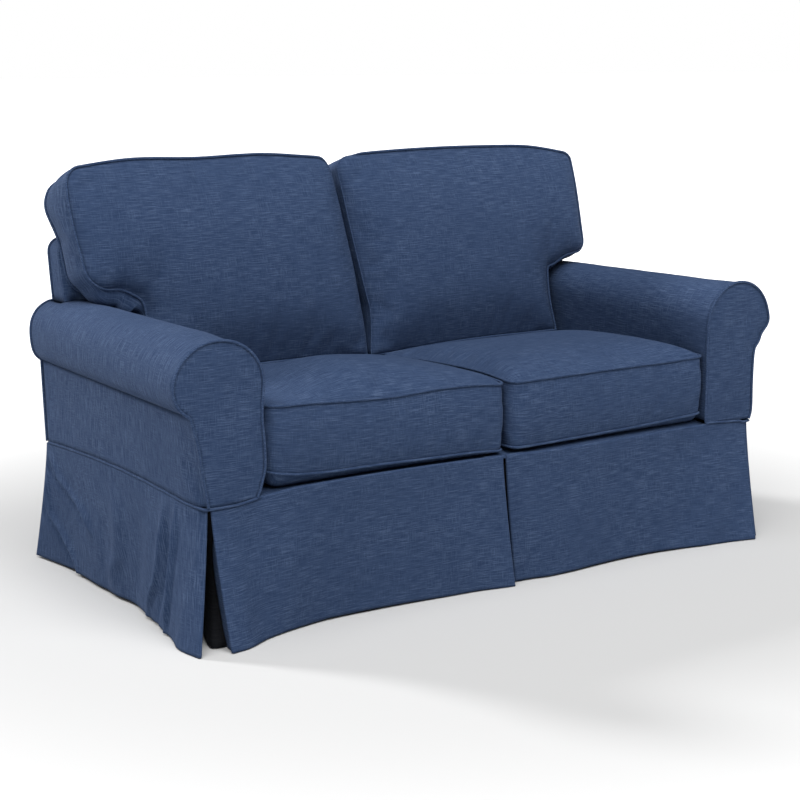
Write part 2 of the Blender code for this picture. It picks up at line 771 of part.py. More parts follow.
# Plan of each back cushion: how far its inner edge, outer edge and top run in, by height or across
inner_edge = {
    -1: ((0.43, -0.006), (0.48, -0.008), (0.56, -0.005), (0.64, -0.001), (0.70, 0.005),
         (0.80, 0.015), (0.85, 0.022)),
    1: ((0.43, -0.006), (0.48, 0.004), (0.53, 0.009), (0.57, 0.004), (0.62, -0.002),
        (0.70, -0.011), (0.85, -0.025)),
}
outer_edge = {
    -1: ((0.62, 0.016), (0.65, 0.011), (0.70, 0.005), (0.75, -0.003), (0.82, -0.008), (0.87, -0.004)),
    1: ((0.62, 0.0), (0.70, -0.002), (0.78, -0.003), (0.84, 0.0), (0.87, 0.003)),
}
top_edge = {
    -1: ((0.0, 0.0), (0.10, 0.006), (0.30, 0.015), (0.55, 0.012), (0.78, 0.015), (1.0, 0.000)),
    1: ((0.0, 0.0), (0.10, 0.008), (0.36, 0.014), (0.66, 0.013), (0.82, 0.008), (1.0, -0.012)),
}


def add_back_cushion(side, word):
    """Leaning back cushion whose outer end laps over the arm."""
    inner, leg, outer = 0.012, 0.569, 0.697
    foot, ear, head = 0.4365, 0.6230, 0.882
    inner_radius, outer_radius, ear_radius = (0.038, 0.030, 0.048) if side < 0 else (0.026, 0.018, 0.030)
    columns = [inner, inner + 0.4 * inner_radius, inner + inner_radius, 0.13, 0.24, 0.35, 0.46, 0.53, leg,
               leg + 0.042, outer - ear_radius, outer - 0.4 * outer_radius, outer]
    rows = [foot, foot + 0.012, 0.50, 0.56, ear, ear + 0.4 * ear_radius, ear + ear_radius, 0.71, 0.78,
            head - inner_radius, head - 0.4 * inner_radius, head]
    ear_column = columns.index(leg)
    ear_row = rows.index(ear)

    def mask(i, j):
        return i < ear_column or j >= ear_row

    corners = ((outer, head, outer_radius, 1, 1), (inner, head, inner_radius, -1, 1),
               (outer, ear, ear_radius, 1, -1))
    grid = rounded_grid(columns, rows, corners)
    for column in grid[ear_column:]:
        corner_share = max(0.0, 1 - (column[ear_row].x - leg) / 0.10)
        column[ear_row].y -= 0.032 * corner_share ** 1.5
        column[ear_row].x += 0.006 * corner_share ** 4
    for column in grid:
        for point in column:
            across = min(max((point.x - inner) / (outer - inner), 0.0), 1.0)
            near_middle = max(0.0, 1 - (point.x - inner) / 0.2)
            near_end = max(0.0, (point.x - 0.5) / (outer - 0.5)) if point.y > ear - 0.001 else 0.0
            top_share = max(0.0, (point.y - 0.75) / (head - 0.75))
            point.y += along(top_edge[side], across) * top_share
            point.x += near_middle * along(inner_edge[side], point.y)
            point.x -= near_end * along(outer_edge[side], point.y)
    front_depth, front_lean = 0.525, 0.265
    thickness = ((foot, 0.098), (0.60, 0.098), (0.72, 0.098), (0.80, 0.112), (head, 0.104))
    rear_fall = ((0.60, 0.014), (0.66, 0.010), (0.72, -0.004), (0.80, 0.006), (head, 0.034))
    rear_pinch = ((0.60, 0.008), (0.66, 0.000), (0.72, -0.002), (0.80, -0.006), (head, 0.012))
    front_crown = ((foot, 0.020), (0.52, 0.038), (0.72, 0.040), (0.84, 0.030), (head, 0.026))
    rear_crown = ((foot, 0.0), (0.76, 0.0), (0.82, 0.010), (head, 0.008))

    def front_face(plan, distance):
        depth = front_depth + front_lean * (plan.y - 0.43) - swell(distance, 0.17, along(front_crown, plan.y))
        return place(side * plan.x, depth, plan.y)

    def rear_face(plan, distance):
        depth = front_depth + front_lean * (plan.y - 0.43) + along(thickness, plan.y)
        depth += swell(distance, 0.12, along(rear_crown, plan.y))
        outer_share = max(0.0, (plan.x - 0.45) / (outer - 0.45))
        fall = along(rear_fall, plan.y) * (outer_share if plan.y < 0.70 else 1.0)
        return place(side * (plan.x - along(rear_pinch, plan.y) * outer_share), depth, plan.y - fall)

    def bulge(plan):
        if plan.x < 0.06:
            return 0.002
        under_ear = plan.x > leg + 0.03 and plan.y < ear + 0.3 * ear_radius
        return 0.019 if under_ear else 0.012

    add_cushion("back_cushion_" + word, grid, mask, front_face, rear_face, bulge, navy_light)


def clear_scene():
    """Start from an empty scene."""
    for item in list(bpy.data.objects):
        bpy.data.objects.remove(item, do_unlink=True)


def build():
    """Make every piece of the cover."""
    clear_scene()
    for side, word in ((-1, "left"), (1, "right")):
        add_arm_roll("arm_roll_" + word, side)
        add_arm_front(side, word)
        add_outside_arm(side, word)
        add_seat_cushion(side, word)
        add_back_cushion(side, word)
    add_back_band()
    add_inside_back()
    add_outside_back()
    add_deck()
    add_seam_welt()
    add_front_skirt("left", front_left_hem, -0.702, -0.005, front_left_folds)
    add_front_skirt("right", front_right_hem, 0.011, 0.7165, front_right_folds)
    add_side_skirt(-1, "left", left_side_hem, left_side_folds)
    add_side_skirt(1, "right", right_side_hem, right_side_folds)
    add_back_skirt()
    add_pleat_insets()


build()
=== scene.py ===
import math

import bmesh
import bpy
import numpy as np
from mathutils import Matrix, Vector, noise
from mathutils.kdtree import KDTree


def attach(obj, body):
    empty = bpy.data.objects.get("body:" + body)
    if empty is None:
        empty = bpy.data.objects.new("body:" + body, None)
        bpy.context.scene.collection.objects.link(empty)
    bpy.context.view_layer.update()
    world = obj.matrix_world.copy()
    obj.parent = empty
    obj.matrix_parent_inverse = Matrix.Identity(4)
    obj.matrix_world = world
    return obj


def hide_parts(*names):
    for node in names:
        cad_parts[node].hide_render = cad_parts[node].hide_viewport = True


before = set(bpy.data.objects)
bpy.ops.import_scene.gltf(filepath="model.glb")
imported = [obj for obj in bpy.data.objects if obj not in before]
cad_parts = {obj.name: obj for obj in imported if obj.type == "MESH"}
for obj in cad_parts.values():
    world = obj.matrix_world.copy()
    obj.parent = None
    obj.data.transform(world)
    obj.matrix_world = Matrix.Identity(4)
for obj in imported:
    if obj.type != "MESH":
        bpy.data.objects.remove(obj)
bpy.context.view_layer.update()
print("frame loaded")

armFrontY = -0.3503  # plane of the two arm fronts; depths run back from it
cloth = {"thick": 0.0025, "weltRadius": 0.0030, "gap": 0.0004, "leanGap": 0.0010}
words = {-1: "Left", 1: "Right"}


# small helpers

def spot(x, depth, height):
    return Vector((x, armFrontY + depth, height))


def mix(start, end, share):
    return start + (end - start) * share


def clamp(value, low=0.0, high=1.0):
    return max(low, min(high, value))


def ease(value):
    value = clamp(value)
    return value * value * (3 - 2 * value)


def straight(table, at):  # straight between rows of (position, value)
    if at <= table[0][0]:
        return table[0][1]
    for (here, value), (there, following) in zip(table, table[1:]):
        if at <= there:
            return mix(value, following, (at - here) / (there - here))
    return table[-1][1]


def curved(table, at):  # the same rows, joined by a smooth curve
    if at <= table[0][0]:
        return table[0][1]
    if at >= table[-1][0]:
        return table[-1][1]
    k = next(k for k in range(len(table) - 1) if at <= table[k + 1][0])
    (here, value), (there, following) = table[k], table[k + 1]
    before, after = table[max(k - 1, 0)], table[min(k + 2, len(table) - 1)]
    leave = (following - before[1]) * ((there - here) / (there - before[0]))
    arrive = (after[1] - value) * ((there - here) / (after[0] - here))
    t = (at - here) / (there - here)
    return (value * (2 * t ** 3 - 3 * t ** 2 + 1) + leave * (t ** 3 - 2 * t ** 2 + t)
            + following * (3 * t ** 2 - 2 * t ** 3) + arrive * (t ** 3 - t ** 2))


def through(points, steps):  # a smooth line through points, with steps pieces between each two
    at = [0.0]
    for start, end in zip(points, points[1:]):
        at.append(at[-1] + max((end - start).length, 1e-6))
    table = list(zip(at, points))
    line = []
    for k in range(len(points) - 1):
        count = steps if isinstance(steps, int) else steps[k]
        line += [curved(table, mix(at[k], at[k + 1], s / count)) for s in range(count)]
    return line + [points[-1]]


def plan(*pairs):
    return [Vector(pair) for pair in pairs]


def soft(point, size, seed=0.0):  # slow random waves, about -1 to 1
    return noise.noise(Vector(point) / size + Vector((seed * 7.3, seed * 3.1, seed * 5.7)))


def assign(target, **values):
    for key, value in values.items():
        setattr(target, key, value)
    return target


def meshOf(name, bm):
    mesh = bpy.data.meshes.new(name)
    bm.to_mesh(mesh)
    bm.free()
    return mesh


def linked(name, data):
    made = bpy.data.objects.new(name, data)
    bpy.context.scene.collection.objects.link(made)
    return made


def dotted(outline, spacing):  # even points along a closed line
    dots = []
    for start, end in zip(outline, outline[1:] + outline[:1]):
        count = max(1, round((end - start).length / spacing))
        dots += [start.lerp(end, s / count) for s in range(count)]
    return dots


def node(tree, kind, inputs, **settings):  # inputs hold numbers, colours or other nodes' outputs
    made = assign(tree.nodes.new(kind), **settings)
    feed(tree, made, inputs)
    return made


def feed(tree, made, inputs):
    for key, value in inputs.items():
        if isinstance(value, bpy.types.NodeSocket):
            tree.links.new(value, made.inputs[key])
        else:
            made.inputs[key].default_value = value


def newMaterial(name):
    material = bpy.data.materials.new(name)
    material.use_nodes = True
    return material, material.node_tree, material.node_tree.nodes["Principled BSDF"]


# cloth: a plain weave with slubs, for panels and welts, and a near-black one under the pleats that paints in the deep
# shade inside them

weave = {
    "dark": (0.0175, 0.0330, 0.0760, 1.0),
    "middle": (0.0275, 0.0480, 0.1020, 1.0),
    "light": (0.0640, 0.0960, 0.1720, 1.0),
    "thread": 0.0011 * 3.1,
    "weft": (0.040, 0.0019),
    "warp": (0.0018, 0.028),
    "speck": (0.009, 0.0018),
    "cloud": (0.16, 0.11),
    "patch": (0.07, 0.09),
    "slubRoughness": 0.62,
    "relief": {"Strength": 0.45, "Distance": 0.0005},
    "roughness": (0.92, 0.82),
    "surface": {"Metallic": 0.0, "Specular IOR Level": 0.08, "Sheen Weight": 0.02, "Sheen Roughness": 0.5,
                "Sheen Tint": (0.60, 0.75, 1.0, 1.0)},
}
# near-black tones for the pleat insets: painted shade for the deep shadow inside the pleat openings
pleatShadeTones = {"dark": (0.0060, 0.0065, 0.0085, 1.0), "middle": (0.0085, 0.0090, 0.0110, 1.0),
            "light": (0.0130, 0.0140, 0.0170, 1.0)}


def weaveMaterial(name, coordinates, tones=weave):
    material, tree, shader = newMaterial(name)
    source = node(tree, "ShaderNodeTexCoord", {}).outputs[coordinates]

    def stretched(across, along):
        scale = (1 / across, 1 / along, 1 / min(across, along))
        return node(tree, "ShaderNodeMapping", {"Vector": source, "Scale": scale}).outputs["Vector"]

    def grain(size, detail, roughness=0.5):
        return node(tree, "ShaderNodeTexNoise", {"Vector": stretched(*weave[size]), "Scale": 1.0,
                                                 "Detail": detail, "Roughness": roughness}).outputs["Fac"]

    def sliced(value, low, high, lowTo=0.0, highTo=1.0):
        return node(tree, "ShaderNodeMapRange", {"Value": value, "From Min": low, "From Max": high,
                                                 "To Min": lowTo, "To Max": highTo},
                    interpolation_type="SMOOTHSTEP").outputs["Result"]

    def maths(operation, first, second):
        return node(tree, "ShaderNodeMath", {0: first, 1: second}, operation=operation).outputs[0]

    def blended(share, first, second):
        return node(tree, "ShaderNodeMix", {0: share, 6: first, 7: second}, data_type="RGBA").outputs[2]

    def bands(direction):
        size = weave["thread"]
        return node(tree, "ShaderNodeTexWave", {"Vector": stretched(size, size), "Scale": 1.0, "Distortion": 0.6,
                                                "Detail": 1.0},
                    wave_type="BANDS", bands_direction=direction).outputs["Fac"]

    weft = grain("weft", 3.0, weave["slubRoughness"])
    warp = grain("warp", 3.0, weave["slubRoughness"])
    patches = sliced(grain("patch", 1.0), 0.35, 0.65, 0.35, 1.0)
    lightWeft = sliced(weft, 0.50, 0.66)
    lightWarp = maths("MULTIPLY", sliced(warp, 0.50, 0.70), patches)
    darkWeft = sliced(weft, 0.50, 0.34)
    darkWarp = maths("MULTIPLY", sliced(warp, 0.50, 0.32), patches)
    light = maths("ADD", maths("MULTIPLY", lightWeft, 0.62), maths("MULTIPLY", lightWarp, 0.46))
    light = maths("MULTIPLY", light, sliced(grain("cloud", 2.0, 0.55), 0.28, 0.72, 0.60, 1.35))
    light = maths("MINIMUM", maths("ADD", light, sliced(grain("speck", 0.0), 0.70, 0.80, 0.0, 0.45)), 1.0)
    dark = maths("ADD", maths("MULTIPLY", darkWeft, 0.85), maths("MULTIPLY", darkWarp, 0.65))
    shade = blended(maths("MINIMUM", dark, 1.0), tones["middle"], tones["dark"])

    threads = maths("MULTIPLY", bands("X"), bands("Y"))
    height = maths("ADD", maths("MULTIPLY", threads, 0.5), maths("ADD", lightWeft, lightWarp))
    bump = node(tree, "ShaderNodeBump", {"Height": height, **weave["relief"]})
    feed(tree, shader, {"Base Color": blended(light, shade, tones["light"]), "Normal": bump.outputs["Normal"],
                        "Roughness": sliced(weft, 0.3, 0.7, *weave["roughness"]), **weave["surface"]})
    return material


panelCloth = weaveMaterial("linenWeave", "UV")
weltCloth = weaveMaterial("linenWelt", "Object")
# the pleat insets get near-black cloth as painted shade
pleatShadeCloth = weaveMaterial("darkUnderlay", "UV", pleatShadeTones)
print("cloth materials made")


# making a piece

pieces = {}
sheets = []


def cadName(name):  # seatDeck stands for the solid seat_deck
    return "".join("_" + letter.lower() if letter.isupper() else letter for letter in name)


def ownPiece(name, mesh, material):
    mesh.materials.append(material)
    piece = pieces[name] = linked(name, mesh)
    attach(piece, "root")
    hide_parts(cadName(name))
    cadName(name)
    return piece


def faceOut(bm, facing):
    bm.normal_update()
    leaning = sum((face.normal.dot(facing(face.calc_center_median())) * face.calc_area() for face in bm.faces))
    if leaning < 0:
        bmesh.ops.reverse_faces(bm, faces=bm.faces)
    bm.normal_update()


def raiseRelief(bm, relief):  # move each point along its normal
    bm.normal_update()
    moves = [(vert, vert.normal * relief(vert)) for vert in bm.verts]
    for vert, move in moves:
        vert.co += move


def writeThreads(bm, threads):  # the weave's own coordinates, in metres
    layer = bm.loops.layers.uv.new("weave")
    shift = 0.37 * (len(pieces) % 17)
    for face in bm.faces:
        for loop in face.loops:
            across, along = threads[loop.vert]
            loop[layer].uv = (across + shift, along + 1.7 * shift)


def finishSheet(name, bm, facts):
    for face in bm.faces:
        face.smooth = True
    # pleat insets take the near-black cloth, a painted shade
    piece = ownPiece(name, meshOf(name, bm), pleatShadeCloth if name.startswith("pleat") else panelCloth)
    assign(piece.modifiers.new("thickness", "SOLIDIFY"), thickness=cloth["thick"], offset=-1.0,
           use_even_offset=True, use_quality_normals=True)
    sheets.append((piece, facts))


def flatGrid(across, along, keys=()):  # a grid, its points by (column, row), and number layers on them
    bm = bmesh.new()
    layers = [bm.verts.layers.float.new(key) for key in keys]
    bmesh.ops.create_grid(bm, x_segments=across, y_segments=along, size=0.5)
    grid = {(round((vert.co.x + 0.5) * across), round((vert.co.y + 0.5) * along)): vert for vert in bm.verts}
    return bm, grid, layers


def layCloth(name, cells, surface, facing, facts, keep=None, relief=None, turned=False):
    across, along = cells
    bm, grid, _ = flatGrid(across, along)
    centres = {face: face.calc_center_median() for face in bm.faces}
    shares = {}
    for (i, j), vert in grid.items():
        shares[vert] = (i, j)
        vert.co = surface(i, j)
    threads = {}
    for (i, j), vert in sorted(grid.items(), key=lambda item: item[0]):
        left = threads[grid[i - 1, j]][0] + (vert.co - grid[i - 1, j].co).length if i else 0.0
        below = threads[grid[i, j - 1]][1] + (vert.co - grid[i, j - 1].co).length if j else 0.0
        threads[vert] = (left, below)
    if turned:
        threads = {vert: (below, left) for vert, (left, below) in threads.items()}
    writeThreads(bm, threads)
    if keep:
        gone = [face for face, centre in centres.items()
                if not keep((centre.x + 0.5) * across, (centre.y + 0.5) * along)]
        bmesh.ops.delete(bm, geom=gone, context="FACES")
    faceOut(bm, facing)
    if relief:
        raiseRelief(bm, lambda vert: relief(*shares[vert], vert.co))
    finishSheet(name, bm, facts)


def cutPanel(name, outline, lift, facing, cell, facts, relief):
    bm = bmesh.new()
    bm.faces.new([bm.verts.new((point.x, 0.0, point.y)) for point in outline])
    for k, normal in ((0, (1, 0, 0)), (2, (0, 0, 1))):
        low = min(vert.co[k] for vert in bm.verts)
        high = max(vert.co[k] for vert in bm.verts)
        count = math.ceil((high - low) / cell)
        for step in range(1, count):
            where = [0.0, 0.0, 0.0]
            where[k] = mix(low, high, step / count)
            bmesh.ops.bisect_plane(bm, geom=bm.verts[:] + bm.edges[:] + bm.faces[:], dist=1e-5,
                                   plane_co=where, plane_no=normal)
    bmesh.ops.remove_doubles(bm, verts=bm.verts, dist=0.0002)
    rim = rimTree(outline)
    heights, threads = {}, {}
    for vert in bm.verts:
        place = Vector((vert.co.x, vert.co.z))
        threads[vert] = (place.x, place.y)
        heights[vert] = relief(place, rim.find((place.x, place.y, 0.0))[2])
    writeThreads(bm, threads)
    for vert in bm.verts:
        vert.co = lift(vert.co.x, vert.co.z)
    faceOut(bm, facing)
    raiseRelief(bm, lambda vert: heights[vert])
    finishSheet(name, bm, facts)


def rimTree(outline, spacing=0.0015):
    dots = dotted(outline, spacing)
    tree = KDTree(len(dots))
    for k, dot in enumerate(dots):
        tree.insert((dot.x, dot.y, 0.0), k)
    tree.balance()
    return tree


def sewWelt(name, line, closed=False, radii=None):
    radii = radii or [1.0] * len(line)
    curve = assign(bpy.data.curves.new(name, "CURVE"), dimensions="3D", bevel_depth=cloth["weltRadius"],
                   bevel_resolution=3, use_fill_caps=True)
    spline = curve.splines.new("POLY")
    spline.points.add(len(line) - 1)
    for target, point, size in zip(spline.points, line, radii):
        target.co = (*point, 1.0)
        target.radius = size * (1.0 + 0.05 * soft(point, 0.012, 4.0))
    spline.use_cyclic_u = closed
    holder = bpy.data.objects.new(name + "Line", curve)
    mesh = bpy.data.meshes.new_from_object(holder)
    bpy.data.objects.remove(holder)
    bpy.data.curves.remove(curve)
    mesh.name = name
    mesh.materials.clear()
    for face in mesh.polygons:
        face.use_smooth = True
    ownPiece(name, mesh, weltCloth)


def mitre(before, here, after):
    first = (here - before) if (here - before).length > 0 else (after - here)
    second = (after - here) if (after - here).length > 0 else first
    firstSide = Vector((first.y, -first.x)).normalized()
    secondSide = Vector((second.y, -second.x)).normalized()
    middle = (firstSide + secondSide).normalized()
    return middle / max(middle.dot(firstSide), 0.5)


def pushedOut(path, distance):  # a clockwise path moved outwards, kept parallel
    ends = len(path) - 1
    return [here - mitre(path[max(k - 1, 0)], here, path[min(k + 1, ends)]) * distance
            for k, here in enumerate(path)]


# the shape of the cover: arms, back frame and seam

arm = {
    "well": 0.589,
    "front": {"middle": 0.685, "height": 0.506, "reach": 0.096, "rise": 0.097, "power": 2.0},
    "rear": {"middle": 0.674, "height": 0.510, "reach": 0.085, "rise": 0.080, "power": 2.4},
    "frontSink": {-1: 0.007, 1: -0.002},
    "tuck": {-1: 0.004, 1: 0.018},
    "neckFront": {-1: (0.7455, 0.4545), 1: (0.7400, 0.4480)},
    "neckRear": (0.7400, 0.4600),
    "angles": (180, 162, 145, 128, 111, 92, 71, 52, 34, 17, 0, -16),
    "steps": [8, 8] + [4] * 11 + [4, 4],
    "post": {
        -1: ((0.271, 0.7110), (0.291, 0.7140), (0.34, 0.722), (0.40, 0.7310), (0.452, 0.7455)),
        1: ((0.271, 0.7290), (0.291, 0.7345), (0.32, 0.7355), (0.364, 0.7345), (0.405, 0.7350), (0.429, 0.7362),
            (0.448, 0.7400)),
    },
    "wall": {  # how far the front edge of the well's wall strays from straight, by height
        -1: ((0.281, 0.0175), (0.294, 0.0115), (0.308, 0.0075), (0.327, 0.0015), (0.343, -0.0015),
             (0.393, 0.0005), (0.433, 0.0050), (0.473, 0.0040), (0.506, 0.0)),
        1: ((0.281, 0.0030), (0.300, 0.0), (0.506, 0.0)),
    },
    "bottom": {
        -1: ((0.6065, 0.2815), (0.644, 0.2765), (0.677, 0.2750), (0.711, 0.2745)),
        1: ((0.5920, 0.2845), (0.637, 0.2815), (0.690, 0.2790), (0.729, 0.2775)),
    },
}
backFrame = {
    "outside": (0.700, 0.15), "inside": (0.640, 0.25, 0.430),
    "half": 0.698, "top": 0.722, "corner": 0.030,
}
deck = {"top": 0.2885}
seam = {
    "height": 0.287, "droop": 0.016, "sag": 0.013, "above": 0.0034, "below": 0.0030, "corner": 0.745,
    "plan": {
        -1: ((0.0, 0.7130), (0.02, 0.7260), (0.06, 0.7320), (0.40, 0.7380), (0.70, 0.7450)),
        1: ((0.0, 0.7275), (0.02, 0.7365), (0.06, 0.7385), (0.40, 0.7395), (0.70, 0.745)),
    },
    "front": ((-0.702, 0.2680), (-0.677, 0.2685), (-0.644, 0.2700), (-0.604, 0.2760), (-0.588, 0.2825),
              (-0.554, 0.2860), (-0.509, 0.2895), (-0.300, 0.2905), (-0.117, 0.2880), (-0.011, 0.2850),
              (0.043, 0.2840), (0.154, 0.2800), (0.387, 0.2800), (0.573, 0.2810), (0.637, 0.2765),
              (0.7165, 0.2715)),
}
frameColumnIndex = 2 + arm["angles"].index(71)
frameColumn = sum(arm["steps"][:frameColumnIndex])


def insideBackAt(height):
    depth, lean, level = backFrame["inside"]
    return depth + lean * (height - level)


def outsideBackAt(height):
    depth, lean = backFrame["outside"]
    return depth + lean * (height - seam["height"])


def skirtTop(x):  # top edge of the skirt along the front
    return curved(seam["front"], x)


def seamOut(depth, side):
    return straight(seam["plan"][side], depth)


def seamLevel(x, depth):
    if depth < 0.001:
        return seam["height"] - seam["droop"] * straight(((0.58, 0.0), (0.705, 1.0)), abs(x))
    rearCorner = seam["height"] - 0.010
    if depth > 0.695:
        return straight(((0.55, seam["height"] - 0.006), (seam["corner"], rearCorner)), abs(x))
    run = depth / backFrame["outside"][0]
    return mix(seam["height"] - seam["droop"], rearCorner, run) + seam["sag"] * math.sin(math.pi * run)


def armSection(run, side, spread=0.0, sink=0.0):  # (out, height) points over an arm
    shape = {key: mix(arm["front"][key], arm["rear"][key], run) for key in arm["front"]}
    wall = arm["well"] - spread
    points = plan((wall, deck["top"] + cloth["gap"] + spread), (wall, mix(deck["top"], shape["height"], 0.5)))
    for angle in arm["angles"]:
        across, up = math.cos(math.radians(angle)), math.sin(math.radians(angle))
        out = math.copysign(abs(across) ** (2 / shape["power"]), across) * (shape["reach"] + spread)
        rise = math.copysign(abs(up) ** (2 / shape["power"]), up) * (shape["rise"] - sink + spread)
        points.append(Vector((shape["middle"] + out, shape["height"] + rise)))
    frontNeck = arm["neckFront"][side]
    neck = Vector(frontNeck).lerp(Vector(arm["neckRear"]), run)
    points[-1].x -= arm["tuck"][side] * (1 - run)
    points.append(points[-1].lerp(neck, 0.55) + Vector((0.003, -spread)))
    points.append(neck - Vector((0.0, spread)))
    return points


def wandering(line, side, share):  # lets the well's wall stray near its front edge
    share, zone = ease(share), arm["steps"][0] + arm["steps"][1]
    return [point + Vector((straight(arm["wall"][side], point.y) * share, 0.0)) if k <= zone else point
            for k, point in enumerate(line)]


def onFrameSide(start, end):
    share = (backFrame["half"] - start.x) / (end.x - start.x)
    return start.lerp(end, share)


def frameOutline():  # half outline of the back frame above the arm, up to its middle
    start = armSection(0.94, 1)[frameColumnIndex].y - 0.002
    half, top, corner = backFrame["half"], backFrame["top"], backFrame["corner"]
    points = plan((half, start), (half, mix(start, top - corner, 0.5)), (half, top - corner))
    for angle in (15, 30, 45, 60, 75, 90):
        turn = math.radians(angle)
        points.append(Vector((half - corner + corner * math.cos(turn), top - corner + corner * math.sin(turn))))
    return points + plan((0.50, top - 0.001), (0.35, top - 0.002), (0.17, top - 0.003), (0.0, top - 0.004))


def bothHalves(half):
    return [Vector((-point.x, point.y)) for point in half] + half[-2::-1]


def stretchedSheet(flat, restsOn, **more):
    return {"flat": flat, "held": "stretched", "rests_on": restsOn, **more}


def hungSheet(flat, **more):
    return {"flat": flat, "held": "hung", "rests_on": ["skirtSeamWelt"], **more}


# arms

armCloth = {"edge": 0.0008, "rows": (54, 6), "frameAt": 0.88, "bite": 0.3, "sinkFade": 6.2, "strayFade": 0.12,
            "cell": 0.0075, "puff": 0.0030, "side": (60, 18), "gather": 1.15}


def makeArm(side):
    word = words[side]
    front = armCloth["edge"]
    frontRows, rearRows = armCloth["rows"]
    bite = armCloth["bite"] * cloth["thick"]
    frameAt = armCloth["frameAt"]
    columns = []
    for k in range(frontRows + rearRows + 1):
        share = k / frontRows
        if share <= 1:
            sink = arm["frontSink"][side] * max(0.0, 1 - share * armCloth["sinkFade"])
            section = through(armSection(frameAt * share, side, sink=sink), arm["steps"])
            section = wandering(section, side, 1 - share / armCloth["strayFade"])
            line = [(p.x, mix(front, insideBackAt(p.y) + bite, share), p.y) for p in section]
        else:
            past = (k - frontRows) / rearRows
            section = through(armSection(mix(frameAt, 1.0, past), side), arm["steps"])
            line = [(p.x, mix(insideBackAt(p.y) + bite, outsideBackAt(p.y) - cloth["thick"] - cloth["leanGap"], past),
                     p.y) for p in section]
        columns.append([spot(side * out, depth, height) for out, depth, height in line])
    across = len(columns[0]) - 1

    def relief(i, j, point):
        depth = point.y - armFrontY
        welt = 0.0016 * math.exp(-((depth - 0.014) / 0.005) ** 2) - 0.0008 * math.exp(-((depth - 0.007) / 0.003) ** 2)
        pucker = 0.0008 * soft((i * 0.010, 0.0, side), 0.030, 2.0) * math.exp(-depth / 0.03)
        wander = 0.0016 * soft(point, 0.16, 1.0 + side) + 0.0005 * soft(point, 0.045, 6.0)
        ends = ease(depth / 0.03) * ease((across - i) / 6) * ease(i / 6)
        return (welt + pucker) * ease((across - i) / 4) * ease(i / 20) + wander * ends * (j < frontRows)

    layCloth("armRoll" + word, (across, frontRows + rearRows), lambda i, j: columns[j][i],
             lambda p: p - spot(side * 0.675, p.y - armFrontY, 0.42),
             stretchedSheet((0.66, 0.76), ["armFront" + word, "insideBack"], area=0.44),
             keep=lambda i, j: j < frontRows or i > frameColumn, relief=relief, turned=side > 0)

    section = armSection(0.0, side, sink=arm["frontSink"][side])
    bottom = plan(*arm["bottom"][side])
    section[0] = Vector((arm["well"], bottom[0].y))
    outline = wandering(through(section, arm["steps"]), side, 1.0)
    post = [Vector((straight(arm["post"][side], height), height)) for height in (0.43, 0.40, 0.36, 0.32, 0.295)]
    outline = outline + through([outline[-1]] + post + [bottom[-1]], 4)[1:]
    mirrored = [Vector((side * point.x, point.y)) for point in outline + bottom[-2:0:-1]]

    def puff(place, rim):
        low = ease((place.y - 0.30) / 0.05)
        return (armCloth["puff"] * ease(rim / 0.035) * (0.4 + 0.6 * low)
                + 0.0010 * soft((place.x, 0.0, place.y), 0.09, 3.0 + side) * ease(rim / 0.02))

    cutPanel("armFront" + word, mirrored, lambda x, z: spot(x, 0.0, z), lambda p: Vector((0, -1, 0)),
             armCloth["cell"],
             stretchedSheet((0.22, 0.36), ["armRoll" + word], area=0.0560, with_pieces=["armFrontWelt" + word]),
             puff)
    sewWelt("armFrontWelt" + word, [spot(side * p.x, -0.0008, p.y) for p in pushedOut(outline, 0.0014)])

    depths, heights = armCloth["side"]

    def sidePanel(i, j):
        gathered = (i / depths) ** armCloth["gather"]
        depth = mix(front, backFrame["outside"][0], gathered)
        run = depth / backFrame["outside"][0]
        neckOut, neckHeight = Vector(arm["neckFront"][side]).lerp(Vector(arm["neckRear"]), run)
        low = seamLevel(seam["corner"], min(max(depth, 0.002), 0.69)) + seam["above"]
        share = j / heights
        height = mix(low, neckHeight - 0.0008, share)
        rear = outsideBackAt(height) - cloth["thick"] - cloth["gap"] * 1.5
        flat = mix(seamOut(depth, side), neckOut - 0.0010, share)
        out = mix(straight(arm["post"][side], height), flat, clamp(depth / mix(0.012, 0.06, ease(share * 2.5))))
        return spot(side * out, min(mix(front, rear, gathered), rear), height)

    def slack(i, j, point):
        depth = point.y - armFrontY
        inside = ease(i / 6) * ease((depths - i) / 4) * ease(j / 4) * ease((heights - j) / 4)
        drag = 0.0020 * math.exp(-(((depth - 0.60) - 0.35 * (0.46 - point.z)) / 0.018) ** 2) * ease((heights - j) / 8)
        loose = 0.0022 * soft((0.0, depth, point.z * 0.6), 0.11, 8.0 + side) + drag * (side < 0)
        return inside * loose - 0.0006 * inside

    layCloth("outsideArm" + word, (depths, heights), sidePanel, lambda p: Vector((side, 0, 0)),
             stretchedSheet((0.72, 0.19), ["armRoll" + word, "skirtSeamWelt"], area=0.128),
             relief=slack, turned=True)


for side in (-1, 1):
    makeArm(side)
print("arms made")


# back frame, deck and seam

backCloth = {"band": 8, "inside": 0.022, "outside": 0.016, "deck": (60, 30)}


